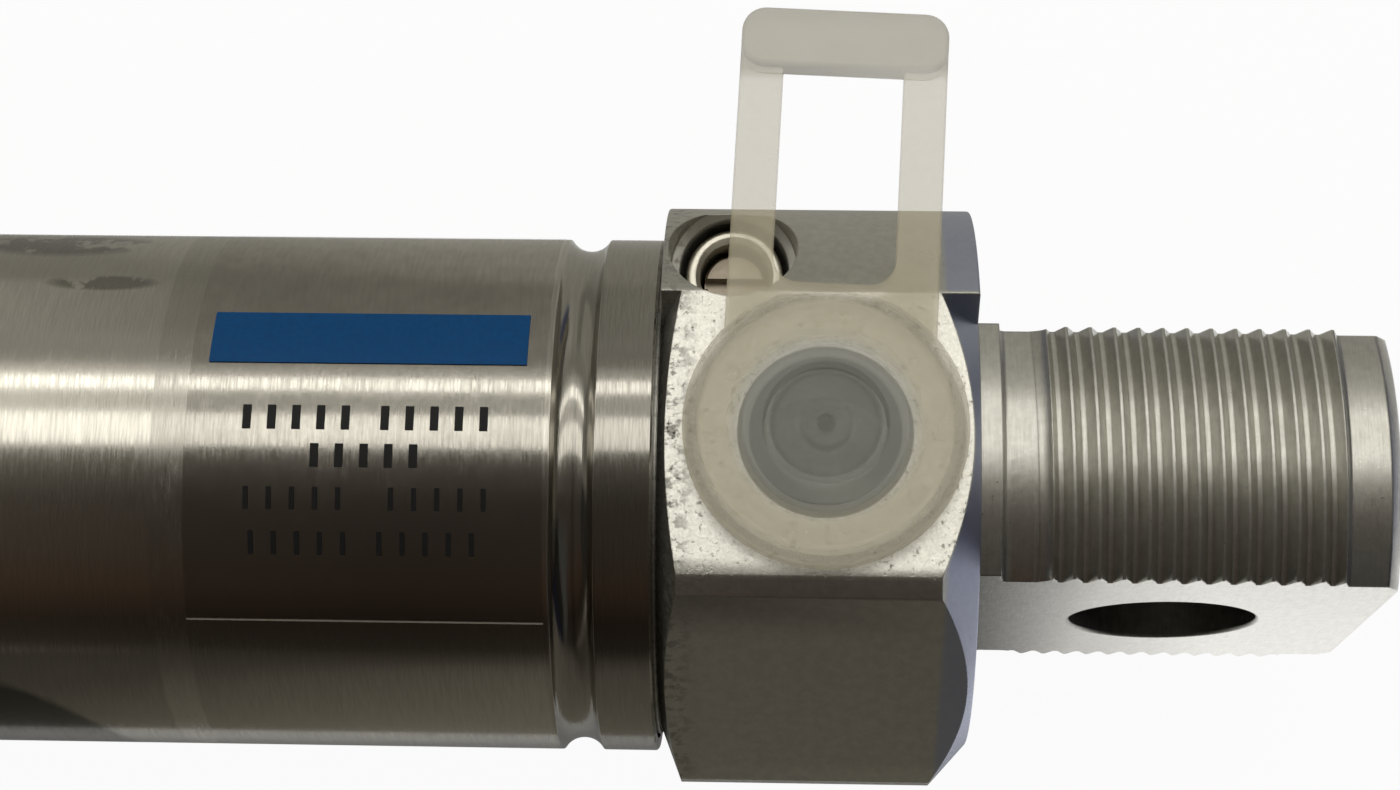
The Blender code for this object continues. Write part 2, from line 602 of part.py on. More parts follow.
def make_port_plug(name, x, finish):
    """Plug with a hollow stem, a dished flange and a pull loop lying over the cap's round side."""
    seat = FLAT_DISTANCE + SEAT_GAP
    top = seat + FLANGE_THICKNESS
    flange = 0.5 * FLANGE_DIAMETER
    stem = 0.5 * PORT_DIAMETER - SEAT_GAP
    foot = seat - PLUG_STEM_LENGTH
    dish = 0.5 * PLUG_RING_DIAMETER
    nub = 0.5 * PLUG_NUB_DIAMETER
    ceiling = top - PLUG_DISH_DEPTH - PLUG_SKIN
    outline = [
        (top, 0.0), (top, nub - PLUG_DISH_DEPTH), (top - PLUG_DISH_DEPTH, nub),
        (top - PLUG_DISH_DEPTH, dish - PLUG_DISH_DEPTH), (top, dish), (top, flange - FLANGE_BEVEL),
        (top - FLANGE_BEVEL, flange), (seat, flange), (seat, stem),
        (foot, stem - PLUG_STEM_TAPER), (foot, stem - PLUG_STEM_TAPER - PLUG_WALL),
        (ceiling, stem - PLUG_WALL), (ceiling, 0.0),
    ]
    plug = turned(name, outline, INNER_SIDES, finish, axis="Z")
    plug.location = (x, 0.0, 0.0)
    plug.rotation_euler = (0.0, 0.0, PLUG_TURN)

    half = 0.5 * LOOP_WIDTH
    far = -LOOP_REACH
    middle = seat + 0.5 * FLANGE_THICKNESS
    root = SEAT_GAP - math.sqrt(flange ** 2 - half ** 2)
    arms = [(half, root), (-half, root), (-half, far + 0.5 * GRIP_DEPTH), (half, far + 0.5 * GRIP_DEPTH)]
    frame = prism(name + "_arms", arms, middle - 0.5 * LOOP_THICKNESS, middle + 0.5 * LOOP_THICKNESS)

    side = half - GRIP_CORNER
    low = far + GRIP_CORNER
    high = far + GRIP_DEPTH - GRIP_CORNER
    corners = ((side, low, -90.0), (side, high, 0.0), (-side, high, 90.0), (-side, low, 180.0))
    grip = []
    for centre_x, centre_y, first in corners:
        grip += rounded(centre_x, centre_y, GRIP_CORNER, first, first + 90.0)
    bar = prism(name + "_grip", grip, middle - 0.5 * GRIP_THICKNESS, middle + 0.5 * GRIP_THICKNESS)

    inner = half - LOOP_ARM
    foot_centre = -flange - SEAT_GAP - WINDOW_CORNER
    window = [(-inner, far + GRIP_DEPTH), (inner, far + GRIP_DEPTH)]
    window += rounded(inner - WINDOW_CORNER, foot_centre, WINDOW_CORNER, 0.0, 90.0)
    window += rounded(-inner + WINDOW_CORNER, foot_centre, WINDOW_CORNER, 90.0, 180.0)
    hole = prism(name + "_window", window, seat - TOOL_REACH, top + TOOL_REACH)
    for tool in (frame, bar, hole):
        tool.location = plug.location
        tool.rotation_euler = plug.rotation_euler
    combine(plug, "UNION", [frame, bar])
    combine(plug, "DIFFERENCE", [hole])
    return plug


def make_bush(finish):
    start = front_place(CHAMBER_DEPTH + SEAT_GAP)
    inner = ROD_RADIUS + RUN_GAP
    outer = inner + BUSH_WALL
    outline = [(start, inner), (start, outer), (start + BUSH_LENGTH, outer), (start + BUSH_LENGTH, inner)]
    return turned("rod_bush", outline, INNER_SIDES, finish)


def make_wiper(finish):
    """Rod seal and wiper in one ring, with a sealing lip inside and a wiping lip outside."""
    start = NECK_END - WIPER_SEAT_DEPTH + SEAT_GAP
    mouth = NECK_END - SEAT_GAP
    outer = 0.5 * WIPER_SEAT_DIAMETER - SEAT_GAP
    lip = ROD_RADIUS + RUN_GAP
    web = lip + WIPER_LIP
    tip = NECK_END + WIPER_LIP
    outline = [
        (start, outer), (mouth, outer), (mouth, 0.5 * (outer + web)), (tip, web), (tip, lip),
        (mouth, lip), (mouth - WIPER_LIP, web), (start + 2.0 * WIPER_LIP, web), (start + WIPER_LIP, lip),
        (start, lip + WIPER_LIP),
    ]
    return turned("rod_wiper_seal", outline, INNER_SIDES, finish)


def make_rod(finish):
    """Rod with a threaded front end and a thinner stem through the piston."""
    shoulder = PISTON_MIDDLE + PISTON_HALF
    stem_start = PISTON_MIDDLE - PISTON_HALF - SEAT_GAP - STEM_INSERTION
    ring_floor = 0.5 * STEM_RING_DIAMETER - 0.5 * STEM_RING_SECTION - SEAT_GAP
    ring_half = 0.5 * STEM_RING_SECTION + SEAT_GAP
    outline = [
        (stem_start, 0.0), (stem_start, STEM_RADIUS - ROD_EDGE), (stem_start + ROD_EDGE, STEM_RADIUS),
        (PISTON_MIDDLE - ring_half, STEM_RADIUS), (PISTON_MIDDLE - ring_half, ring_floor),
        (PISTON_MIDDLE + ring_half, ring_floor), (PISTON_MIDDLE + ring_half, STEM_RADIUS),
        (shoulder, STEM_RADIUS), (shoulder, ROD_RADIUS), (ROD_SHOULDER - ROD_EDGE, ROD_RADIUS),
        (ROD_SHOULDER, ROD_RADIUS - ROD_EDGE), (ROD_SHOULDER, STEM_RADIUS),
        (ROD_END - ROD_THREAD_LEAD, STEM_RADIUS), (ROD_END, STEM_RADIUS - ROD_THREAD_LEAD), (ROD_END, 0.0),
    ]
    rod = turned("piston_rod", outline, INNER_SIDES, finish)
    flats = flat_tool(
        "piston_rod_flats", ROD_SHOULDER - ROD_FLATS_LENGTH, ROD_SHOULDER + TOOL_REACH,
        0.5 * ROD_FLATS, (0.25, 0.75), ROD_DIAMETER)
    combine(rod, "DIFFERENCE", [flats])
    return rod


def piston_half_outline(front):
    """Half of the piston, as (distance from the piston's middle, radius)."""
    outer = 0.5 * PISTON_DIAMETER
    hub = 0.5 * PISTON_HUB_DIAMETER
    stem_hole = STEM_RADIUS + SEAT_GAP
    pocket = 0.5 * MAGNET_LENGTH + SEAT_GAP
    groove_start = pocket + PISTON_LAND
    groove_end = groove_start + PISTON_SEAL_LENGTH + 2.0 * SEAT_GAP
    groove_floor = BORE_RADIUS - RING_TO_BARREL - PISTON_SEAL_DEPTH - SEAT_GAP
    outline = [
        (0.5 * SEAT_GAP, stem_hole), (0.5 * SEAT_GAP, hub), (pocket, hub), (pocket, outer),
        (groove_start, outer), (groove_start, groove_floor), (groove_end, groove_floor), (groove_end, outer),
        (PISTON_HALF, outer), (PISTON_HALF, 0.5 * BUMPER_OUTER + SEAT_GAP),
        (PISTON_HALF - BUMPER_SEAT, 0.5 * BUMPER_OUTER + SEAT_GAP),
        (PISTON_HALF - BUMPER_SEAT, 0.5 * BUMPER_INNER - SEAT_GAP),
        (PISTON_HALF, 0.5 * BUMPER_INNER - SEAT_GAP),
    ]
    if front:
        recess = PISTON_HALF - CUSHION_FLANGE - 2.0 * SEAT_GAP
        outline += [
            (PISTON_HALF, 0.5 * CUSHION_FLANGE_DIAMETER + SEAT_GAP),
            (recess, 0.5 * CUSHION_FLANGE_DIAMETER + SEAT_GAP),
            (recess, stem_hole),
        ]
    else:
        outline.append((PISTON_HALF, stem_hole))
    return outline


def make_piston(finishes):
    """Two aluminium halves round the magnet, with the guide ring, the lip seals and the end-stop rings."""
    middle = PISTON_MIDDLE
    half_magnet = 0.5 * MAGNET_LENGTH
    guide_outer = BORE_RADIUS - RING_TO_BARREL
    guide_inner = guide_outer - GUIDE_WALL
    magnet_outer = guide_inner - SEAT_GAP
    magnet_inner = 0.5 * PISTON_HUB_DIAMETER + SEAT_GAP
    pieces = {}
    sleeves = (
        ("piston_magnet", magnet_inner, magnet_outer, finishes["magnet"]),
        ("piston_guide_ring", guide_inner, guide_outer, finishes["guide"]),
    )
    for name, inner, outer, finish in sleeves:
        outline = [
            (middle - half_magnet, inner), (middle - half_magnet, outer),
            (middle + half_magnet, outer), (middle + half_magnet, inner),
        ]
        pieces[name] = turned(name, outline, INNER_SIDES, finish)

    seal_start = half_magnet + PISTON_LAND + 2.0 * SEAT_GAP
    seal_end = seal_start + PISTON_SEAL_LENGTH
    seal_inner = guide_outer - PISTON_SEAL_DEPTH
    seal_mean = 0.5 * (seal_inner + guide_outer)
    lip_seal = [
        (seal_start, seal_inner), (seal_start, guide_outer - SEAT_GAP),
        (0.5 * (seal_start + seal_end), guide_outer - SEAT_GAP), (seal_end, guide_outer),
        (seal_end, guide_outer - SEAL_LIP), (0.5 * (seal_start + seal_end), seal_mean),
        (seal_end, seal_inner + SEAL_LIP), (seal_end, seal_inner),
    ]
    bumper = [
        (PISTON_HALF - BUMPER_SEAT + SEAT_GAP, 0.5 * BUMPER_INNER),
        (PISTON_HALF - BUMPER_SEAT + SEAT_GAP, 0.5 * BUMPER_OUTER),
        (PISTON_HALF + BUMPER_STAND, 0.5 * BUMPER_OUTER),
        (PISTON_HALF + BUMPER_STAND, 0.5 * BUMPER_INNER),
    ]
    for side, outward in (("front", 1.0), ("rear", -1.0)):
        parts = (
            ("piston_" + side + "_half", piston_half_outline(side == "front"), finishes["aluminium"]),
            (side + "_piston_seal", lip_seal, finishes["seal"]),
            (side + "_bumper", bumper, finishes["bumper"]),
        )
        for name, outline, finish in parts:
            placed = [(middle + outward * w, radius) for w, radius in outline]
            pieces[name] = turned(name, placed, INNER_SIDES, finish)
    pieces["piston_oring"] = o_ring(
        "piston_oring", middle, 0.5 * STEM_RING_DIAMETER, STEM_RING_SECTION, finishes["seal"], SMALL_SIDES)
    return pieces


def make_front_cushion(finish):
    """Sleeve round the rod, held by its flange between the rod's shoulder and the piston."""
    face = PISTON_MIDDLE + PISTON_HALF
    rod_hole = ROD_RADIUS + SEAT_GAP
    tip = face + CUSHION_LENGTH
    flange = 0.5 * CUSHION_FLANGE_DIAMETER
    back = face - SEAT_GAP - CUSHION_FLANGE
    outline = [
        (back, STEM_RADIUS + SEAT_GAP), (back, flange), (face - SEAT_GAP, flange),
        (face - SEAT_GAP, CUSHION_RADIUS), (tip - CUSHION_LEAD, CUSHION_RADIUS),
        (tip, CUSHION_RADIUS - 0.5 * CUSHION_LEAD), (tip, rod_hole), (face - SEAT_GAP, rod_hole),
        (face - SEAT_GAP, STEM_RADIUS + SEAT_GAP),
    ]
    return turned("front_cushion_sleeve", outline, INNER_SIDES, finish)


def make_rear_cushion(finish):
    """Cushion spigot screwed on the rod's stem, which also clamps the piston; a hexagon socket drives it."""
    face = PISTON_MIDDLE - PISTON_HALF - SEAT_GAP
    tip = face - CUSHION_LENGTH
    hole_end = face - STEM_INSERTION - SEAT_GAP
    outline = [
        (tip, 0.0), (tip, CUSHION_RADIUS - 0.5 * CUSHION_LEAD), (tip + CUSHION_LEAD, CUSHION_RADIUS),
        (face, CUSHION_RADIUS), (face, STEM_RADIUS + SEAT_GAP), (hole_end, STEM_RADIUS + SEAT_GAP),
        (hole_end, 0.0),
    ]
    spigot = turned("rear_cushion_spigot", outline, INNER_SIDES, finish)
    radius = 0.5 * SOCKET_DIAMETER
    socket = [(tip - TOOL_REACH, 0.0), (tip - TOOL_REACH, radius), (tip + SOCKET_DEPTH, radius)]
    socket.append((tip + SOCKET_DEPTH, 0.0))
    combine(spigot, "DIFFERENCE", [turned("rear_cushion_socket", socket, HEXAGON_SIDES)])
    return spigot


def make_nut(name, start, length, across, bore, sides, finish):
    """Hexagon nut with both faces chamfered."""
    corner = 0.5 * across / math.cos(math.pi / HEXAGON_SIDES)
    crown = NUT_CROWN * across
    drop = NUT_CHAMFER_SLOPE * (corner - crown)
    inner = 0.5 * bore
    outline = [
        (start, inner), (start, crown), (start + drop, corner),
        (start + length - drop, corner), (start + length, crown), (start + length, inner),
    ]
    nut = turned(name, outline, sides, finish)
    distance = 0.5 * across
    half_width = distance * math.tan(math.pi / HEXAGON_SIDES) - TOOL_PLAY
    turns = [turn / HEXAGON_SIDES for turn in range(HEXAGON_SIDES)]
    ends = (start - TOOL_REACH, start + length + TOOL_REACH)
    flats = flat_tool(name + "_flats", ends[0], ends[1], distance, turns, half_width)
    combine(nut, "DIFFERENCE", [flats])
    return nut


def make_carrier(name, location, children, parent=None):
    """Empty on a joint's axis that carries what moves with the joint."""
    carrier = bpy.data.objects.new(name, None)
    carrier.location = location
    bpy.context.scene.collection.objects.link(carrier)
    if parent is not None:
        carrier.parent = parent
    for child in children:
        child.location = child.location - Vector(location)
        child.parent = carrier
    return carrier


def build():
    clear_scene()
    stainless = make_finish("stainless_tube", (0.62, 0.60, 0.56), 1.0, 0.3)
    cast = make_finish("blasted_aluminium", (0.62, 0.61, 0.58), 0.9, 0.42)
    steel = make_finish("bright_steel", (0.7, 0.7, 0.69), 1.0, 0.2)
    zinc = make_finish("zinc_plated", (0.66, 0.67, 0.68), 1.0, 0.32)
    brass = make_finish("screw_brass", (0.45, 0.4, 0.3), 1.0, 0.4)
    rubber = make_finish("seal_rubber", (0.03, 0.03, 0.03), 0.0, 0.6)
    plastic = make_finish("natural_polyethylene", (0.85, 0.85, 0.82), 0.0, 0.35)
    acetal = make_finish("bearing_acetal", (0.75, 0.72, 0.64), 0.0, 0.4)
    bronze = make_finish("bush_bronze", (0.55, 0.38, 0.2), 1.0, 0.4)
    ferrite = make_finish("magnet_ferrite", (0.08, 0.08, 0.09), 0.2, 0.6)

    make_barrel(stainless)
    make_rear_cap(cast)
    make_cap("bearing_cap", front_cap_outline(), front_place, cast)
    ring_mean = SPIGOT_RADIUS - 0.5 * BARREL_RING_SECTION
    for side, place in (("rear", rear_place), ("front", front_place)):
        ring_place = place(-BARREL_RING_OFFSET)
        o_ring(side + "_barrel_oring", ring_place, ring_mean, BARREL_RING_SECTION, rubber)
        make_cushion_seal(side + "_cushion_seal", place, rubber)
        screw_x = place(SCREW_OFFSET)
        make_sleeve(side + "_screw_sleeve", screw_x, steel)
        screw = make_cushion_screw(side + "_cushion_screw", screw_x, brass)
        ring = make_screw_ring(side + "_screw_oring", screw_x, rubber)
        make_carrier(side + "_screw_travel", (screw_x, SCREW_SIDE, 0.0), [screw, ring])
        make_port_plug(side + "_port_plug", place(PORT_OFFSET), plastic)
    make_bush(bronze)
    make_wiper(rubber)
    make_nut(
        "mounting_nut", FRONT_SHOULDER + MOUNTING_NUT_FROM_COLLAR, MOUNTING_NUT_LENGTH,
        MOUNTING_NUT_FLATS, THREAD_DIAMETER + 2.0 * SEAT_GAP, BODY_SIDES, zinc)

    finishes = {"aluminium": cast, "magnet": ferrite, "guide": acetal, "seal": rubber, "bumper": rubber}
    piston = make_piston(finishes)
    sliding = [piston.pop(name) for name in ("piston_guide_ring", "front_piston_seal", "rear_piston_seal")]
    turning = list(piston.values())
    turning.append(make_rod(steel))
    turning.append(make_front_cushion(cast))
    turning.append(make_rear_cushion(cast))
    turning.append(make_nut(
        "rod_nut", ROD_SHOULDER + ROD_NUT_FROM_SHOULDER, ROD_NUT_LENGTH,
        ROD_NUT_FLATS, ROD_THREAD_DIAMETER + 2.0 * SEAT_GAP, INNER_SIDES, zinc))
    axis_point = (PISTON_MIDDLE, 0.0, 0.0)
    slide = make_carrier("rod_slide", axis_point, sliding)
    turn = make_carrier("rod_turn", axis_point, turning)
    turn.location = (0.0, 0.0, 0.0)
    turn.parent = slide


build()
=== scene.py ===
import json
import math

import bmesh
import bpy
from mathutils import Matrix, Vector


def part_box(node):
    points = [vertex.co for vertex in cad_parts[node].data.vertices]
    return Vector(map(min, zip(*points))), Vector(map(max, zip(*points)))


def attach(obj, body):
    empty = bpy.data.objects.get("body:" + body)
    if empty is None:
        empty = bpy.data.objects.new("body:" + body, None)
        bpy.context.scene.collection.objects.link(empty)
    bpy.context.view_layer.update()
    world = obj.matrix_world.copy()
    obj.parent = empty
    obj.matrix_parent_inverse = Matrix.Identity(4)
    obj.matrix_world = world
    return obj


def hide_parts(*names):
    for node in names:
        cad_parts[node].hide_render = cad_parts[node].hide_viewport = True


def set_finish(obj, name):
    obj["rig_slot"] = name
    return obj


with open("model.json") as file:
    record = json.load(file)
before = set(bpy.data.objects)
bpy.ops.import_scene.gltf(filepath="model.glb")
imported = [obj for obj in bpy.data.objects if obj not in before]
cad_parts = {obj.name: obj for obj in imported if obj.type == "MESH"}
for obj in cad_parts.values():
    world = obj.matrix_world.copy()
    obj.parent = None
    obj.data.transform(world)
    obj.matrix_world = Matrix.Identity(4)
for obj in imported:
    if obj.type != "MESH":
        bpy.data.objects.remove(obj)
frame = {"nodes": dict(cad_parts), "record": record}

mm = 0.001
fullTurn = 2.0 * math.pi
origin = (0.0, 0.0, 0.0)
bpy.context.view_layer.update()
print("frame loaded,", len(frame["nodes"]), "nodes")


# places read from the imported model, in millimetres as in all that is modelled below
def boxInMm(node):
    low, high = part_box(node)
    return low / mm, high / mm


seatGap = 0.3
barrelLow, barrelHigh = boxInMm("cylinder_barrel")
rearCapLow, rearCapHigh = boxInMm("end_cap")
frontCapLow, frontCapHigh = boxInMm("bearing_cap")
sleeveLow, sleeveHigh = boxInMm("rear_screw_sleeve")
rodLow, rodHigh = boxInMm("piston_rod")
mountPlaces = {mount["name"]: Vector(mount["pos_m"]) / mm for mount in frame["record"]["mounts"]}

rearFace = barrelLow.x - seatGap
frontFace = barrelHigh.x + seatGap
shoulderX = mountPlaces["bearing_cap_shoulder"].x
collarLength = shoulderX - frontFace
tongueLength = rearFace - collarLength
neckLength = frontCapHigh.x - shoulderX
spigotLength = rearCapHigh.x - rearFace
barrelRadius = barrelHigh.z
portOffset = rearFace - mountPlaces["rest_flat"].x
flatDistance = -mountPlaces["rest_flat"].z
screwOffset = rearFace - 0.5 * (sleeveLow.x + sleeveHigh.x)
screwY = 0.5 * (sleeveLow.y + sleeveHigh.y)


# X for a distance from a collar's barrel side
def rearPlace(distance):
    return rearFace - distance


def frontPlace(distance):
    return frontFace + distance


# mesh tools: everything is modelled in millimetres and made metres at the end
sharpAngle = 32.0                # degrees between faces, above which an edge stays sharp
softAngle = 40.0                 # the same for the moulded plugs, and for the edges that are bevelled


def newPiece(name, shape, scale=mm):
    bmesh.ops.remove_doubles(shape, verts=shape.verts, dist=1e-5)
    bmesh.ops.recalc_face_normals(shape, faces=shape.faces)
    if scale != 1.0:
        bmesh.ops.scale(shape, vec=(scale, scale, scale), verts=shape.verts)
    mesh = bpy.data.meshes.new(name)
    shape.to_mesh(mesh)
    shape.free()
    mesh.shade_smooth()
    mesh.set_sharp_from_angle(angle=math.radians(sharpAngle))
    piece = bpy.data.objects.new(name, mesh)
    bpy.context.scene.collection.objects.link(piece)
    return piece


def newTool(name, shape):        # a cutter, still in millimetres
    return newPiece(name, shape, scale=1.0)


def applyModifiers(piece):
    view = bpy.context.evaluated_depsgraph_get()
    done = bpy.data.meshes.new_from_object(piece.evaluated_get(view))
    done.name = piece.data.name
    piece.modifiers.clear()
    piece.data = done


def combine(piece, operation, tool):
    step = piece.modifiers.new(tool.name, "BOOLEAN")
    step.operation = operation
    step.solver = "EXACT"
    step.object = tool
    applyModifiers(piece)
    bpy.data.objects.remove(tool, do_unlink=True)


def bevelEdges(piece, width, segments):
    step = piece.modifiers.new("edges", "BEVEL")
    step.width = width
    step.segments = segments
    step.limit_method = "ANGLE"
    step.angle_limit = math.radians(softAngle)
    applyModifiers(piece)


def toMetres(piece, angle=sharpAngle):
    piece.data.transform(Matrix.Scale(mm, 4))
    piece.data.shade_smooth()
    piece.data.set_sharp_from_angle(angle=math.radians(angle))


def softCorners(outline, size):  # rounds the corners of a turned outline
    steps, flattest = 3, math.radians(150.0)
    rounded = [outline[0]]
    for before, corner, after in zip(outline, outline[1:], outline[2:]):
        before, corner, after = Vector(before), Vector(corner), Vector(after)
        back, onward = before - corner, after - corner
        reach = min(size, 0.4 * back.length, 0.4 * onward.length)
        bend = back.normalized().angle(onward.normalized()) if reach > 0.0 else math.pi
        if bend > flattest:
            rounded.append(tuple(corner))
            continue
        first = corner + back.normalized() * reach
        last = corner + onward.normalized() * reach
        for step in range(steps + 1):
            t = step / steps
            point = first * (1.0 - t) ** 2 + corner * 2.0 * t * (1.0 - t) + last * t ** 2
            rounded.append(tuple(point))
    rounded.append(outline[-1])
    return rounded


def turned(outline, steps, axis="X", start=0.0, sweep=fullTurn):
    shape = bmesh.new()
    alongX = axis == "X"
    spinAxis = Vector((1.0, 0.0, 0.0)) if alongX else Vector((0.0, 0.0, 1.0))
    points = []
    for place, radius in outline:
        corner = (place, 0.0, radius) if alongX else (radius, 0.0, place)
        points.append(shape.verts.new(corner))
    edges = [shape.edges.new(pair) for pair in zip(points, points[1:])]
    if outline[0][1] > 0.0 or outline[-1][1] > 0.0:
        edges.append(shape.edges.new((points[-1], points[0])))
    whole = sweep == fullTurn
    turnToStart = Matrix.Rotation(start, 3, spinAxis)
    bmesh.ops.rotate(shape, verts=points, cent=origin, matrix=turnToStart)
    bmesh.ops.spin(
        shape, geom=points + edges, cent=origin, axis=spinAxis, angle=sweep, steps=steps, use_merge=whole)
    bmesh.ops.remove_doubles(shape, verts=shape.verts, dist=1e-5)
    if not whole:
        openEdges = [edge for edge in shape.edges if edge.is_boundary]
        bmesh.ops.holes_fill(shape, edges=openEdges, sides=0)
    return shape


def moved(shape, offset, turn=0.0, axis="Z"):
    bmesh.ops.rotate(shape, verts=shape.verts, cent=origin, matrix=Matrix.Rotation(turn, 3, axis))
    bmesh.ops.translate(shape, verts=shape.verts, vec=offset)
    return shape


def block(low, high):
    shape = bmesh.new()
    bmesh.ops.create_cube(shape, size=1.0)
    size = Vector(high) - Vector(low)
    bmesh.ops.scale(shape, verts=shape.verts, vec=size)
    bmesh.ops.translate(shape, verts=shape.verts, vec=0.5 * (Vector(low) + Vector(high)))
    return shape


def plate(corners, bottom, top):
    shape = bmesh.new()
    base = shape.faces.new([shape.verts.new((x, y, bottom)) for x, y in corners])
    grown = bmesh.ops.extrude_face_region(shape, geom=[base])["geom"]
    rim = [part for part in grown if isinstance(part, bmesh.types.BMVert)]
    bmesh.ops.translate(shape, vec=(0.0, 0.0, top - bottom), verts=rim)
    return shape


def arcPoints(centreX, centreY, radius, first, last, steps):
    points = []
    for step in range(steps + 1):
        angle = math.radians(first + (last - first) * step / steps)
        points.append((centreX + radius * math.cos(angle), centreY + radius * math.sin(angle)))
    return points


def cheeks(start, end, half, reach):         # two blocks that leave the middle of a round bar
    return joined([
        block((start, half, -reach), (end, reach, reach)),
        block((start, -reach, -reach), (end, -half, reach)),
    ])


def groove(centre, half, floorHalf, radius, floorRadius):    # four corners of a turned groove
    return [
        (centre + half, radius), (centre + floorHalf, floorRadius),
        (centre - floorHalf, floorRadius), (centre - half, radius),
    ]


def joined(shapes):              # several closed shapes in one bmesh
    whole = shapes[0]
    for shape in shapes[1:]:
        spare = bpy.data.meshes.new("spare")
        shape.to_mesh(spare)
        shape.free()
        whole.from_mesh(spare)
        bpy.data.meshes.remove(spare)
    return whole


# a right-hand thread: a V groove swept along a helix round X, as a closed tool
threadShape = {"flankAngle": 30.0, "crestShare": 0.125, "over": 0.05, "rootDip": 0.03}


def threadGroove(crestX, start, end, pitch, radius, rootRadius, steps):
    over = threadShape["over"]
    slope = math.tan(math.radians(threadShape["flankAngle"]))
    half = 0.5 * (pitch - threadShape["crestShare"] * pitch)
    root = half - (radius - rootRadius) * slope
    first = crestX + 0.5 * pitch + pitch * math.floor((start - crestX) / pitch)
    turns = math.ceil((end - first) / pitch)
    section = [
        (first - half - over * slope, radius + over), (first - root, rootRadius),
        (first, rootRadius - threadShape["rootDip"]),
        (first + root, rootRadius), (first + half + over * slope, radius + over),
    ]
    shape = bmesh.new()
    points = [shape.verts.new((x, 0.0, r)) for x, r in section]
    face = shape.faces.new(points)
    bmesh.ops.spin(
        shape, geom=[face], cent=origin, axis=(1.0, 0.0, 0.0),
        dvec=(pitch / steps, 0.0, 0.0), angle=turns * fullTurn, steps=turns * steps)
    return shape


# shader maths: a socket that takes arithmetic, also with a number before it
class Wire:
    def __init__(self, tree, socket):
        self.tree = tree
        self.socket = socket

    def maths(self, operation, first, second):
        node = self.tree.nodes.new("ShaderNodeMath")
        node.operation = operation
        for slot, value in zip(node.inputs, (first, second)):
            plug(self.tree, slot, value)
        return Wire(self.tree, node.outputs[0])

    def __add__(self, other):
        return self.maths("ADD", self, other)

    def __radd__(self, other):
        return self.maths("ADD", other, self)

    def __sub__(self, other):
        return self.maths("SUBTRACT", self, other)

    def __rsub__(self, other):
        return self.maths("SUBTRACT", other, self)

    def __mul__(self, other):
        return self.maths("MULTIPLY", self, other)

    def __rmul__(self, other):
        return self.maths("MULTIPLY", other, self)

    def __truediv__(self, other):
        return self.maths("DIVIDE", self, other)


def plug(tree, slot, value):
    if isinstance(value, Wire):
        tree.links.new(value.socket, slot)
    elif value is not None:
        slot.default_value = value


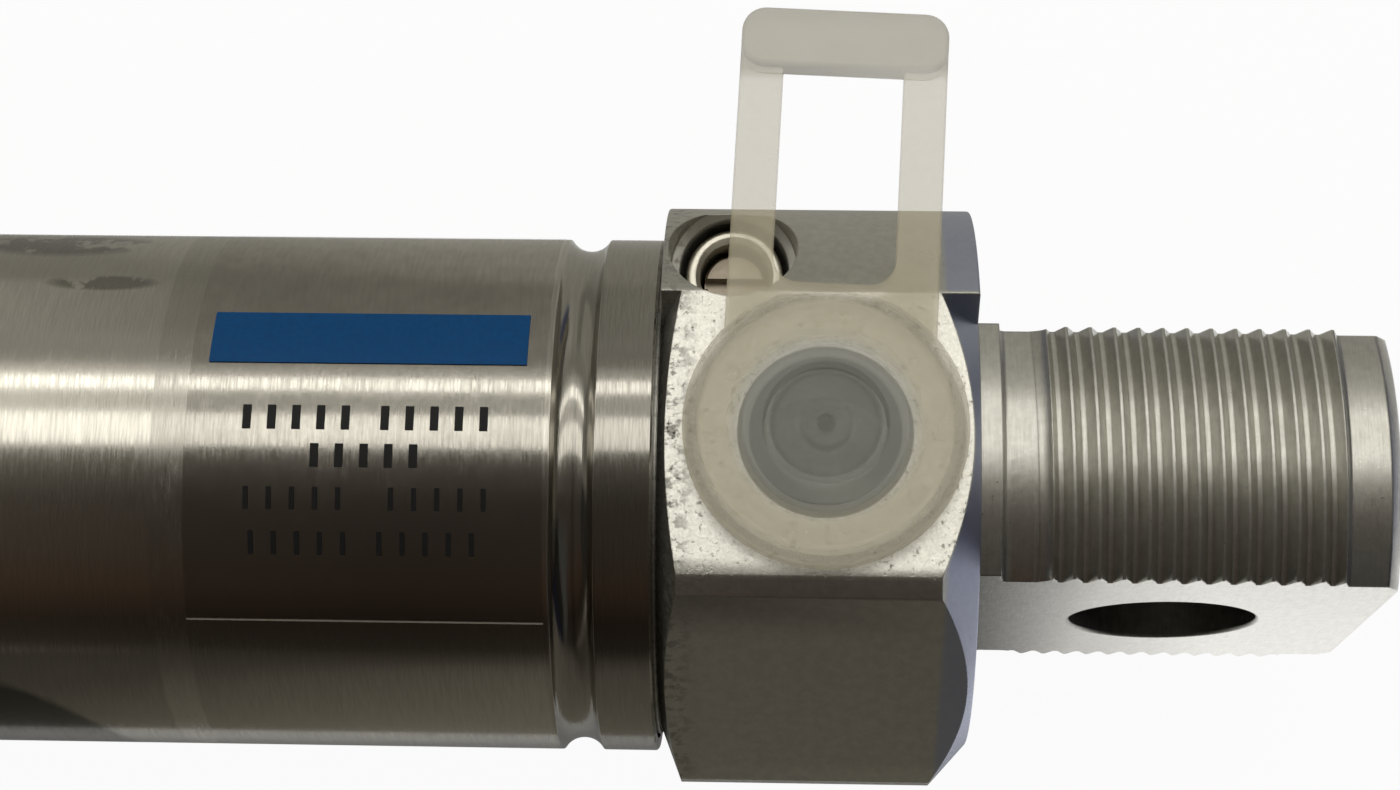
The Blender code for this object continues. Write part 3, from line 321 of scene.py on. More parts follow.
class Finish:                    # a material's node tree, with short ways to add to it
    def __init__(self, name, world=None):
        self.material = world or bpy.data.materials.new(name)
        self.material.use_nodes = True
        self.tree = self.material.node_tree
        self.tree.nodes.clear()
        output = "ShaderNodeOutputWorld" if world else "ShaderNodeOutputMaterial"
        self.surface = self.tree.nodes.new(output).inputs["Surface"]
        coordinates = self.tree.nodes.new("ShaderNodeTexCoord")
        self.place = Wire(self.tree, coordinates.outputs["Object"])

    def node(self, kind, settings=None, values=None):
        node = self.tree.nodes.new("ShaderNode" + kind)
        for name, value in (settings or {}).items():
            if name == "stops":
                self.setStops(node.color_ramp, value)
            else:
                setattr(node, name, value)
        for name, value in (values or {}).items():
            plug(self.tree, node.inputs[name], value)
        return Wire(self.tree, node.outputs[0])

    def setStops(self, ramp, stops):
        while len(ramp.elements) > len(stops):
            ramp.elements.remove(ramp.elements[-1])
        while len(ramp.elements) < len(stops):
            ramp.elements.new(1.0)
        for element, (position, colour) in zip(ramp.elements, stops):
            element.position = position
            element.color = (*colour, 1.0)

    def part(self, axis):        # one coordinate of the object, in millimetres
        if not hasattr(self, "split"):
            self.split = self.tree.nodes.new("ShaderNodeSeparateXYZ")
            plug(self.tree, self.split.inputs[0], self.place)
        return Wire(self.tree, self.split.outputs[axis]) * (1.0 / mm)

    def noise(self, scale, detail=3.0, roughness=0.6):      # scale in cells a millimetre, even or by axis
        scale = scale if isinstance(scale, tuple) else (scale, scale, scale)
        stretch = {"Vector": self.place, "Scale": tuple(part / mm for part in scale)}
        place = self.node("Mapping", None, stretch)
        values = {"Vector": place, "Scale": 1.0, "Detail": detail, "Roughness": roughness}
        return self.node("TexNoise", None, values)

    def degrees(self):           # angle round X from the port's side, positive towards +Y
        return self.part(1).maths("ARCTAN2", self.part(1), self.part(2)) * math.degrees(1.0)

    def oval(self, middle, half, soft):     # 1 inside an oval on the tube, in millimetres and degrees
        along = (self.part(0) - middle[0]) / half[0]
        around = (self.degrees() - middle[1]) / half[1]
        return self.ramp(along * along + around * around, 1.0 + soft, 1.0 - soft)

    def band(self, value, first, last, soft):       # 1 between two values
        return self.ramp(value, first - soft, first + soft) * self.ramp(value, last + soft, last - soft)

    def farFrom(self, first, second):       # the length of two coordinates taken together
        square = first * first + second * second
        return square.maths("POWER", square, 0.5)

    def ramp(self, value, low, high, first=0.0, last=1.0):
        values = {"Value": value, "From Min": low, "From Max": high, "To Min": first, "To Max": last}
        return self.node("MapRange", None, values)

    def mixed(self, factor, first, second):
        node = self.tree.nodes.new("ShaderNodeMix")
        node.data_type = "RGBA"
        plug(self.tree, node.inputs[0], factor)
        for slot, value in ((node.inputs[6], first), (node.inputs[7], second)):
            plug(self.tree, slot, (*value, 1.0) if isinstance(value, tuple) else value)
        return Wire(self.tree, node.outputs[2])

    def shaded(self, value, colour):        # a colour made lighter or darker by a number
        return self.node("VectorMath", {"operation": "SCALE"}, {0: colour, "Scale": value})

    def bump(self, height, distance, normal=None):
        values = {"Height": height, "Distance": distance * mm, "Strength": 1.0, "Normal": normal}
        return self.node("Bump", None, values)

    def show(self, shader):
        plug(self.tree, self.surface, shader)

    def principled(self, values):
        self.show(self.node("BsdfPrincipled", None, values))

    def glow(self, colour):
        self.show(self.node("Emission", None, {"Color": colour, "Strength": 1.0}))


# barrel: a thin tube with a groove rolled into the wall near each end
barrelSizes = {
    "sides": 192, "wall": 0.8, "rim": 0.12,
    "grooveFromCollar": 5.15, "grooveDepth": 0.78, "grooveSteps": 20,
    "creaseFromMiddle": 1.35, "creaseLead": 0.15, "creaseSoft": 0.08,
}


def rolledGroove(centre, radius):        # a round channel, softly creased into the tube at both sides
    half, depth = barrelSizes["creaseFromMiddle"], barrelSizes["grooveDepth"]
    channelRadius = 0.5 * (half ** 2 + depth ** 2) / depth
    edgeTurn = math.asin(half / channelRadius)
    lead = half + barrelSizes["creaseLead"]
    points = [(centre - lead, radius)]
    for step in range(barrelSizes["grooveSteps"] + 1):
        turn = edgeTurn * (2.0 * step / barrelSizes["grooveSteps"] - 1.0)
        dip = channelRadius * math.cos(turn) - channelRadius + depth
        points.append((centre + channelRadius * math.sin(turn), radius - dip))
    return softCorners([*points, (centre + lead, radius)], barrelSizes["creaseSoft"])


def makeBarrel():
    bore = barrelRadius - barrelSizes["wall"]
    rim = barrelSizes["rim"]
    start, end = barrelLow.x, barrelHigh.x
    outside = [(start, barrelRadius - rim), (start + rim, barrelRadius)]
    inside = [(start, bore)]
    offset = barrelSizes["grooveFromCollar"]
    for centre in (rearFace + offset, frontFace - offset):
        outside += rolledGroove(centre, barrelRadius)
        inside += rolledGroove(centre, bore)
    outside += [(end - rim, barrelRadius), (end, barrelRadius - rim)]
    inside.append((end, bore))
    barrel = newPiece("barrelTube", turned(outside + inside[::-1], barrelSizes["sides"]))
    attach(barrel, "housing")
    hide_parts("cylinder_barrel")
    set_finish(barrel, "stainless_tube")
    return barrel


# end caps: turned, milled to five flats and a round lobe, drilled and threaded
capSizes = {
    "sides": 180, "collarRadius": 18.9, "softEdge": 0.14,
    "endChamfer": 0.45, "barrelSideChamfer": 1.3, "stemSideChamfer": 2.4,
    "pilotRadius": 15.5, "pilotLength": 1.4, "reliefRadius": 14.1, "reliefLength": 2.6,
    "threadRadius": 15.0, "threadRoot": 14.13, "threadPitch": 1.5, "threadSteps": 96, "threadLead": 0.9,
    "rearCrest": 20.10, "frontCrest": 391.3, "reliefFillet": 0.5, "runOut": 1.5, "runOutOverlap": 0.55,
    "landRadius": 14.0, "landLength": 3.25, "landLead": 0.4, "landEdge": 0.8,
    "tongueHalf": 8.0, "eyeFromEnd": 13.0, "eyeRadius": 6.0, "eyeEdge": 0.15,
    "spigotRadius": 15.7, "rollFloorRadius": 14.84, "rollFloorHalf": 0.55, "rollHalf": 1.5 + seatGap,
    "ringFloorRadius": 14.1, "ringFromCollar": 9.8, "ringHalf": 1.0,
    "chamberRadius": 8.2, "chamberDepth": 15.65, "sealSeatRadius": 10.3, "sealSeatDepth": 4.2,
    "portRadius": 4.9, "portMouthRadius": 5.25, "portMouthDepth": 0.35, "portEdge": 0.08,
    "counterboreRadius": 4.05, "counterboreFloor": 9.6, "counterboreCone": 0.33,
    "sleeveBoreRadius": 3.5, "sleeveFloor": 2.0, "screwHoleRadius": 2.3, "screwHoleFoot": -4.3,
    "bleedRadius": 1.0, "bleedHeight": -2.6, "bleedSide": -11.6, "bleedDepth": 2.6,
    "wiperSeatRadius": 9.9, "wiperSeatDepth": 7.0, "bushRadius": 7.3, "bushLength": 20.6,
    "rodHoleRadius": 6.6,
}
overrun = 1.5                    # how far a cutter reaches past what it cuts


# outlines run as (distance from the collar's barrel side, radius)
def spigotOutline():             # collar, spigot, its two grooves and the cushion chamber
    c = capSizes
    collar, spigot = c["collarRadius"], c["spigotRadius"]
    rollPlace = -barrelSizes["grooveFromCollar"]
    roll = groove(rollPlace, c["rollHalf"], c["rollFloorHalf"], spigot, c["rollFloorRadius"])
    ring = groove(-c["ringFromCollar"], c["ringHalf"], c["ringHalf"], spigot, c["ringFloorRadius"])
    seat = spigotLength - c["sealSeatDepth"]
    return [
        (collarLength, collar), (0.0, collar), (0.0, spigot), *roll, *ring,
        (-spigotLength, spigot), (-spigotLength, c["sealSeatRadius"]),
        (-seat, c["sealSeatRadius"]), (-seat, c["chamberRadius"]), (c["chamberDepth"], c["chamberRadius"]),
    ]


def quarterTurn(steps):
    return [0.5 * math.pi * step / steps for step in range(steps + 1)]


def stemOutline():               # run-out and pilot, from the thread down to the collar
    c = capSizes
    pilotEnd = collarLength + c["pilotLength"]
    threadStart = pilotEnd + c["reliefLength"] + c["runOutOverlap"]
    depth, fillet = c["threadRadius"] - c["reliefRadius"], c["reliefFillet"]
    points = []
    for turn in quarterTurn(8):
        along = threadStart - c["runOut"] * (1.0 - math.cos(turn))
        points.append((along, c["threadRadius"] - depth * math.sin(turn)))
    for turn in quarterTurn(6):
        along = pilotEnd + fillet * (1.0 - math.sin(turn))
        points.append((along, c["reliefRadius"] + fillet * (1.0 - math.cos(turn))))
    return [*points, (pilotEnd, c["pilotRadius"]), (collarLength, c["pilotRadius"])]


def rearOutline():
    c = capSizes
    end = collarLength + tongueLength
    landStart = end - c["landLength"]
    return [
        (end, 0.0), (end, c["landRadius"] - c["landEdge"]), (end - c["landEdge"], c["landRadius"]),
        (landStart, c["landRadius"]), (landStart - c["landLead"], c["threadRadius"]),
        *stemOutline(), *spigotOutline(), (c["chamberDepth"], 0.0),
    ]


def frontOutline():
    c = capSizes
    end = collarLength + neckLength
    wiperSeat = end - c["wiperSeatDepth"]
    bushEnd = c["chamberDepth"] + c["bushLength"]
    return [
        (end, c["wiperSeatRadius"]), (end, c["threadRadius"] - c["threadLead"]),
        (end - c["threadLead"], c["threadRadius"]), *stemOutline(), *spigotOutline(),
        (c["chamberDepth"], c["bushRadius"]), (bushEnd, c["bushRadius"]),
        (bushEnd, c["rodHoleRadius"]), (wiperSeat, c["rodHoleRadius"]), (wiperSeat, c["wiperSeatRadius"]),
    ]


# blocks that mill flats at the given sixths of a turn; neighbours are in separate tools
def hexagonTools(name, ends, distance, turns):
    tools = []
    halfWidth, top = 0.64 * distance, 1.8 * distance
    for label, chosen in (("Even", turns[0::2]), ("Odd", turns[1::2])):
        blocks = []
        for turn in chosen:
            shape = block((ends[0], -halfWidth, distance), (ends[1], halfWidth, top))
            blocks.append(moved(shape, origin, -math.radians(60.0 * turn), "X"))
        tools.append(newTool(name + label, joined(blocks)))
    return tools


def millingTools(name, place):   # five blocks for the flats and a conical tool for each end
    c = capSizes
    ends = sorted((place(-overrun), place(collarLength + overrun)))
    tools = hexagonTools(name, ends, flatDistance, range(5))
    halfAngle = math.acos(flatDistance / c["collarRadius"])
    lastFlat = math.radians(240.0)
    sweep = lastFlat + 2.0 * halfAngle
    reach = c["collarRadius"] + overrun
    past = 0.1
    sides = (("Barrel", 0.0, -1.0, "barrelSideChamfer"), ("Stem", collarLength, 1.0, "stemSideChamfer"))
    for label, end, outward, corner in sides:
        slope = (c[corner] - c["endChamfer"]) / (c["collarRadius"] - flatDistance)
        base = flatDistance - c["endChamfer"] / slope
        section = [
            (place(end + outward * past), base - past / slope), (place(end + outward * past), reach),
            (place(end - outward * slope * (reach - base)), reach),
        ]
        shape = turned(section, c["sides"], start=-lastFlat - halfAngle, sweep=sweep)
        tools.append(newTool(name + label + "Chamfer", shape))
    return tools


def drillTools(name, place):     # port, cushion screw hole and its two bleed passages
    c = capSizes
    top = flatDistance + overrun
    edge = c["portEdge"]
    port = [
        (top, 0.0), (top, c["portMouthRadius"] + edge), (flatDistance, c["portMouthRadius"] + edge),
        (flatDistance - edge, c["portMouthRadius"]), (flatDistance - c["portMouthDepth"], c["portRadius"]),
        (0.0, c["portRadius"]), (0.0, 0.0),
    ]
    foot, bleedFoot = c["screwHoleFoot"], c["screwHoleFoot"] - c["bleedDepth"]
    bleed = c["bleedRadius"]
    screwHole = [
        (c["collarRadius"], 0.0), (c["collarRadius"], c["counterboreRadius"]),
        (c["counterboreFloor"], c["counterboreRadius"]),
        (c["counterboreFloor"] - c["counterboreCone"], c["sleeveBoreRadius"]),
        (c["sleeveFloor"], c["sleeveBoreRadius"]), (c["sleeveFloor"], c["screwHoleRadius"]),
        (foot, c["screwHoleRadius"]), (foot, bleed), (bleedFoot, bleed), (bleedFoot, 0.0),
    ]
    portX, screwX, chamberEnd = place(portOffset), place(screwOffset), place(-spigotLength - overrun)
    feed = [(chamberEnd, 0.0), (chamberEnd, bleed), (screwX, bleed), (screwX, 0.0)]
    cross = [(0.0, 0.0), (0.0, bleed), (-screwY, bleed), (-screwY, 0.0)]
    crossPlace = (screwX, screwY, bleedFoot + bleed)
    return [
        newTool(name + "Port", moved(turned(port, 96, "Z"), (portX, 0.0, 0.0))),
        newTool(name + "ScrewHole", moved(turned(screwHole, 96, "Z"), (screwX, screwY, 0.0))),
        newTool(name + "Feed", moved(turned(feed, 24), (0.0, c["bleedSide"], c["bleedHeight"]))),
        newTool(name + "Cross", moved(turned(cross, 24), crossPlace, math.radians(90.0), "Z")),
    ]


def makeCap(name, node, outline, place, crestX, threadEnds, extraTools=()):
    c = capSizes
    soft = softCorners(outline, c["softEdge"])
    cap = newTool(name, turned([(place(u), radius) for u, radius in soft], c["sides"]))
    thread = threadGroove(
        crestX, *threadEnds, c["threadPitch"], c["threadRadius"], c["threadRoot"], c["threadSteps"])
    tools = [*millingTools(name, place), *drillTools(name, place), *extraTools]
    for tool in (*tools, newTool(name + "Thread", thread)):
        combine(cap, "DIFFERENCE", tool)
    toMetres(cap)
    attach(cap, "housing")
    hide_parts(node)
    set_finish(cap, "cap_aluminium")
    return cap


def makeRearCap():
    c = capSizes
    half, edge = c["tongueHalf"], c["eyeEdge"]
    mouth = half + overrun
    eye = [(-mouth, 0.0), (-mouth, c["eyeRadius"] + edge + overrun), (edge - half, c["eyeRadius"])]
    eye += [(-place, radius) for place, radius in reversed(eye)]
    eyeTool = moved(turned(eye, 96), (c["eyeFromEnd"], 0.0, 0.0), math.radians(90.0), "Z")
    tongueCheeks = cheeks(-overrun, tongueLength, half, c["collarRadius"])
    tools = [newTool("tongueCheeks", tongueCheeks), newTool("tongueEye", eyeTool)]
    reliefEnd = rearFace - collarLength - c["pilotLength"]
    threadEnds = (c["landLength"] - 1.0, reliefEnd - 1.0)
    return makeCap("rearCap", "end_cap", rearOutline(), rearPlace, c["rearCrest"], threadEnds, tools)


def makeFrontCap():
    c = capSizes
    threadEnds = (shoulderX + c["pilotLength"] + 1.0, shoulderX + neckLength + 0.2)
    return makeCap("frontCap", "bearing_cap", frontOutline(), frontPlace, c["frontCrest"], threadEnds)


# port plugs: a dished flange with a pull loop
plugSizes = {
    "sides": 96, "flangeRadius": 8.6, "thickness": 1.9, "bevel": 0.5, "underBevel": 0.2, "softEdge": 0.1,
    "stemRadius": 4.6, "stemLength": 7.0, "taper": 0.2, "leadHeight": 0.6, "leadWidth": 0.5,
    "wall": 0.9, "skin": 1.0,
    "dishRadius": 3.4, "dishDepth": 0.3, "dishSlope": 0.35, "stepRadius": 4.0, "stepDepth": 0.1,
    "nubRadius": 1.7, "nubFlat": 1.1, "nubLift": 0.22, "nubCrown": 0.26, "pipRadius": 0.45, "pipLift": 0.05,
    "rimRadius": 7.55, "rimWidth": 0.5, "rimDepth": 0.16, "turn": -2.4,
    "loopWidth": 12.85, "loopReach": 26.6, "armWidth": 2.7, "armBevel": 0.18, "loopThickness": 1.0,
    "windowCorner": 1.6, "gripDepth": 3.9, "gripThickness": 1.8, "gripCorner": 1.5, "gripBevel": 0.35,
    "cornerSteps": 10,
}


def plugBody():
    p = plugSizes
    seat = flatDistance + seatGap
    top = seat + p["thickness"]
    foot = seat - p["stemLength"]
    dish = top - p["dishDepth"]
    flange, stem = p["flangeRadius"], p["stemRadius"]
    tip = stem - p["taper"]
    ceiling = dish - p["skin"]
    pip, nub = p["pipRadius"], p["nubRadius"]
    rimFloor, rimHalf = top - p["rimDepth"], 0.3 * p["rimWidth"]
    edge, slope, rim = p["dishRadius"], p["dishSlope"], p["rimRadius"]
    outline = [
        (dish + p["pipLift"], 0.0), (dish + p["pipLift"], pip), (dish + p["nubLift"], pip + 0.1),
        (dish + p["nubLift"], p["nubFlat"]), (dish + p["nubCrown"], nub - 0.3), (dish, nub),
        (dish, edge - slope), (top, edge), (top, edge + slope), (top - p["stepDepth"], p["stepRadius"]),
        (top, rim - p["rimWidth"]), (rimFloor, rim - rimHalf), (rimFloor, rim + rimHalf),
        (top, rim + p["rimWidth"]), (top, flange - p["bevel"]), (top - p["bevel"], flange),
        (seat + p["underBevel"], flange), (seat, flange - p["underBevel"]), (seat, stem),
        (foot + p["leadHeight"], tip), (foot, tip - p["leadWidth"]), (foot, tip - p["wall"]),
        (ceiling, stem - p["wall"]), (ceiling, 0.0),
    ]
    return turned(softCorners(outline, p["softEdge"]), p["sides"], "Z")


def makePlug(side, place):
    p = plugSizes
    seat = flatDistance + seatGap
    middle = seat + 0.5 * p["thickness"]
    half = 0.5 * p["loopWidth"]
    far = -p["loopReach"]
    steps = p["cornerSteps"]
    flange = p["flangeRadius"]
    root = seatGap - math.sqrt(flange ** 2 - half ** 2)
    inner = half - p["armWidth"]
    corner = p["windowCorner"]
    footY = -flange - seatGap - corner
    gripMiddle = far + 0.5 * p["gripDepth"]
    thin = 0.5 * p["loopThickness"]
    outer = [(half, root), (-half, root), (-half, gripMiddle), (half, gripMiddle)]
    arms = newTool(side + "Arms", plate(outer, middle - thin, middle + thin))
    window = [(-inner, gripMiddle), (inner, gripMiddle)]
    window += arcPoints(inner - corner, footY, corner, 0.0, 90.0, steps)
    window += arcPoints(-inner + corner, footY, corner, 90.0, 180.0, steps)
    windowTool = newTool(side + "Window", plate(window, seat - overrun, middle + 2.0 * overrun))
    combine(arms, "DIFFERENCE", windowTool)
    bevelEdges(arms, p["armBevel"], 3)

    corner = p["gripCorner"]
    across, low, high = half - corner, far + corner, far + p["gripDepth"] - corner
    grip = []
    for quarter, (x, y) in enumerate(((across, low), (across, high), (-across, high), (-across, low))):
        first = 90.0 * quarter - 90.0
        grip += arcPoints(x, y, corner, first, first + 90.0, steps)
    thick = 0.5 * p["gripThickness"]
    bar = newTool(side + "Grip", plate(grip, middle - thick, middle + thick))
    bevelEdges(bar, p["gripBevel"], 4)

    plug = newTool(side + "Plug", plugBody())
    combine(plug, "UNION", arms)
    combine(plug, "UNION", bar)
    turn = Matrix.Rotation(math.radians(p["turn"]), 4, "Z")
    plug.data.transform(Matrix.Translation((place(portOffset), 0.0, 0.0)) @ turn)
    toMetres(plug, softAngle)
    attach(plug, side + "_plug_body")
    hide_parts(side + "_port_plug")
    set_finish(plug, "plug_plastic")
    return plug


# cushion screws and the sleeves round them
screwSizes = {
    "sides": 64, "sleeveRadius": 3.12, "sleeveHole": 2.25, "sleeveTop": 8.3, "sleeveLength": 6.0,
    "sleeveSoft": 0.1, "edge": 0.18, "radius": 2.0, "top": 6.5, "length": 9.7,
    "slotWidth": 0.7, "slotDepth": 0.9,
    "plainTop": 1.2, "threadPitch": 0.5, "threadDepth": 0.2, "grooveTop": 1.05, "grooveFoot": -0.45,
    "grooveRadius": 0.8, "needleRadius": 1.2, "tipRadius": 0.6, "needleLength": 2.2,
}


def makeSleeve(side, screwX):
    s = screwSizes
    top, bottom, edge = s["sleeveTop"], s["sleeveTop"] - s["sleeveLength"], s["edge"]
    hole, radius, mouth = s["sleeveHole"], s["sleeveRadius"], 1.6 * edge
    outline = [
        (bottom, hole), (bottom, radius), (top - edge, radius), (top, radius - edge),
        (top, hole + mouth), (top - mouth, hole),
    ]
    shape = turned(softCorners(outline, s["sleeveSoft"]), s["sides"], "Z")
    sleeve = newPiece(side + "Sleeve", moved(shape, (screwX, screwY, 0.0)))
    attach(sleeve, "housing")
    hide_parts(side + "_screw_sleeve")
    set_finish(sleeve, "sleeve_steel")
    return sleeve


def makeScrew(side, screwX):
    s = screwSizes
    top, foot, radius = s["top"], s["top"] - s["length"], s["radius"]
    outline = [(top, 0.0), (top, radius - s["edge"]), (top - s["edge"], radius)]
    place = top - s["plainTop"]
    while place - s["threadPitch"] > s["grooveTop"]:      # fine thread, drawn as rings
        outline += [(place, radius), (place - 0.5 * s["threadPitch"], radius - s["threadDepth"])]
        place -= s["threadPitch"]
    tip = foot - s["needleLength"]
    outline += [
        (place, radius), (s["grooveTop"], radius), (s["grooveTop"], s["grooveRadius"]),
        (s["grooveFoot"], s["grooveRadius"]), (s["grooveFoot"], radius), (foot, radius),
        (foot, s["needleRadius"]), (tip, s["tipRadius"]), (tip, 0.0),
    ]
    screw = newTool(side + "Screw", turned(outline, s["sides"], "Z"))
    half = 0.5 * s["slotWidth"]
    slot = block((-2.0 * radius, -half, top - s["slotDepth"]), (2.0 * radius, half, top + overrun))
    combine(screw, "DIFFERENCE", newTool(side + "Slot", slot))
    screw.data.transform(Matrix.Translation((screwX, screwY, 0.0)))
    toMetres(screw)
    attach(screw, side + "_screw_body")
    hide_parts(side + "_cushion_screw")
    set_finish(screw, "screw_steel")
    return screw


# hexagon nuts: crowned faces and a countersunk plain hole
nutSizes = {
    "sides": 144, "crown": 0.475, "slope": 0.58, "soft": 0.12,
    "mounting": {"node": "mounting_nut", "flats": 36.0, "hole": 30.6, "mouth": 0.5},
    "rod": {"node": "rod_nut", "flats": 17.0, "hole": 10.6, "mouth": 0.4},
}


def makeNut(kind, body):
    n = nutSizes[kind]
    low, high = boxInMm(n["node"])
    start, end = low.x, high.x
    corner = 0.5 * n["flats"] / math.cos(math.radians(30.0))
    crown = nutSizes["crown"] * n["flats"]
    drop = nutSizes["slope"] * (corner - crown)
    inner, mouth = 0.5 * n["hole"], n["mouth"]
    outline = [
        (start + mouth, inner), (start, inner + mouth), (start, crown), (start + drop, corner),
        (end - drop, corner), (end, crown), (end, inner + mouth), (end - mouth, inner),
    ]
    nut = newTool(kind + "Nut", turned(softCorners(outline, nutSizes["soft"]), nutSizes["sides"]))
    for tool in hexagonTools(kind, (start - overrun, end + overrun), 0.5 * n["flats"], range(6)):
        combine(nut, "DIFFERENCE", tool)
    toMetres(nut)
    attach(nut, body)
    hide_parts(n["node"])
    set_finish(nut, "zinc_steel")
    return nut


# piston rod: ground shaft, two spanner flats and a threaded end
rodSizes = {
    "sides": 144, "radius": 6.0, "edge": 0.5, "soft": 0.1, "stemRadius": 5.0,
    "ringRadius": 4.05, "ringHalf": 0.7,
    "threadLength": 22.0, "threadPitch": 1.25, "threadRoot": 4.27, "threadSteps": 64, "lead": 1.0,
    "undercut": 1.6, "undercutSlope": 0.6, "flatsHalf": 5.0, "flatsLength": 5.5, "flatsPast": 0.5,
}


def makeRod():
    r = rodSizes
    magnetLow, magnetHigh = boxInMm("piston_magnet")
    ringPlace = 0.5 * (magnetLow.x + magnetHigh.x)
    stemEnd, end = rodLow.x, rodHigh.x
    shoulder = boxInMm("piston_front_half")[1].x
    nose = end - r["threadLength"]
    radius, stem, edge, lead = r["radius"], r["stemRadius"], r["edge"], r["lead"]
    outline = [
        (stemEnd, 0.0), (stemEnd, stem - edge), (stemEnd + edge, stem),
        *groove(ringPlace, -r["ringHalf"], -r["ringHalf"], stem, r["ringRadius"]),
        (shoulder, stem), (shoulder, radius), (nose - edge, radius), (nose, radius - edge),
        (nose, r["threadRoot"]), (nose + r["undercut"], r["threadRoot"]),
        (nose + r["undercut"] + r["undercutSlope"], stem), (end - lead, stem), (end, stem - lead), (end, 0.0),
    ]
    rod = newTool("rodShaft", turned(softCorners(outline, r["soft"]), r["sides"]))
    flats = cheeks(nose - r["flatsLength"], nose + r["flatsPast"], r["flatsHalf"], radius + 2.0)
    combine(rod, "DIFFERENCE", newTool("rodCheeks", flats))
    ends = (nose + 1.0, end + 0.2)
    thread = threadGroove(end, *ends, r["threadPitch"], stem, r["threadRoot"], r["threadSteps"])
    combine(rod, "DIFFERENCE", newTool("rodThread", thread))
    toMetres(rod)
    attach(rod, "rod_assembly")
    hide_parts("piston_rod")
    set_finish(rod, "rod_steel")
    return rod


# wiper: the lip seal that shows round the rod
wiperSizes = {"sides": 128, "lip": 0.8, "lipEdge": 0.35, "clearance": 0.15, "soft": 0.22}


def makeWiper():
    w = wiperSizes
    low, high = boxInMm("rod_wiper_seal")
    lip, edge = w["lip"], w["lipEdge"]
    start, tip = low.x, high.x
    mouth = tip - lip - seatGap
    outer = high.z
    inner = rodSizes["radius"] + w["clearance"]
    web = inner + lip
    middle = 0.5 * (outer + web)
    outline = [
        (start, web), (start, outer), (mouth, outer), (mouth, middle + 0.3), (mouth + edge, middle),
        (tip, inner + edge), (tip - 0.1, inner), (mouth, inner + 0.15), (mouth - lip, web),
        (start + 2.0 * lip, web), (start + lip, inner), (start, inner + 0.2),
    ]
    wiper = newPiece("rodWiper", turned(softCorners(outline, w["soft"]), w["sides"]))
    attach(wiper, "housing")
    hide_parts("rod_wiper_seal")
    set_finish(wiper, "seal_polyurethane")
    return wiper


# label: a clear film on the tube with a plain printed bar and even groups of plain ticks
labelSizes = {
    "from": 52.2, "to": 74.0, "residueEnd": 76.1, "first": -75.0, "last": 41.8,
    "lift": 0.02, "thickness": 0.04, "inkLift": 0.065, "inkThickness": 0.012, "stepAngle": 1.5,
    "bar": (53.4, 72.9, -27.0, -14.0),
    "rows": (
        {"from": 55.6, "first": -4.3, "last": 0.8, "groups": (5, 5), "tick": 0.5, "pitch": 1.5, "gap": 1.9},
        {"from": 59.8, "first": 3.8, "last": 8.7, "groups": (5,), "tick": 0.5, "pitch": 1.5, "gap": 1.9},
        {"from": 55.6, "first": 12.8, "last": 17.5, "groups": (5, 5), "tick": 0.3, "pitch": 1.4, "gap": 2.9},
        {"from": 56.3, "first": 22.0, "last": 26.9, "groups": (5, 5), "tick": 0.3, "pitch": 1.4, "gap": 1.9},
    ),
}


# a patch round the tube; its degrees run from the port's side towards +Y
def tubePatch(start, end, first, last, inner, thickness):
    steps = max(2, math.ceil((last - first) / labelSizes["stepAngle"]))
    section = [(start, inner), (start, inner + thickness), (end, inner + thickness), (end, inner)]
    return turned(section, steps, start=-math.radians(last), sweep=math.radians(last - first))


def makeLabel():
    s = labelSizes
    film = tubePatch(s["from"], s["to"], s["first"], s["last"], barrelRadius + s["lift"], s["thickness"])
    ink = (barrelRadius + s["inkLift"], s["inkThickness"])
    bar = tubePatch(*s["bar"], *ink)
    marks = []
    for row in s["rows"]:
        x = row["from"]
        for group in row["groups"]:
            for _ in range(group):
                marks.append(tubePatch(x, x + row["tick"], row["first"], row["last"], *ink))
                x += row["pitch"]
            x += row["gap"] - row["pitch"] + row["tick"]
    shapes = (("labelFilm", film), ("labelBar", bar), ("labelMarks", joined(marks)))
    pieces = [newPiece(name, shape) for name, shape in shapes]
    for piece in pieces:
        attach(piece, "housing")
    return pieces


# tube: turned bright, with fine marks round it, handling stains and dull patches, and painted shade under the
# label and next to the rear cap
tubeLook = {                     # ovals are (middle, half size), in millimetres along and degrees round
    "colour": (0.62, 0.595, 0.54), "smudges": (((84.3, -56.0), (5.6, 7.5)), ((80.6, -36.5), (3.3, 2.6))),
    "smudgeSoft": 0.35, "stain": ((90.0, 100.0), (10.5, 42.0)), "stainFade": (128.0, 104.0), "grain": 0.0085,
}


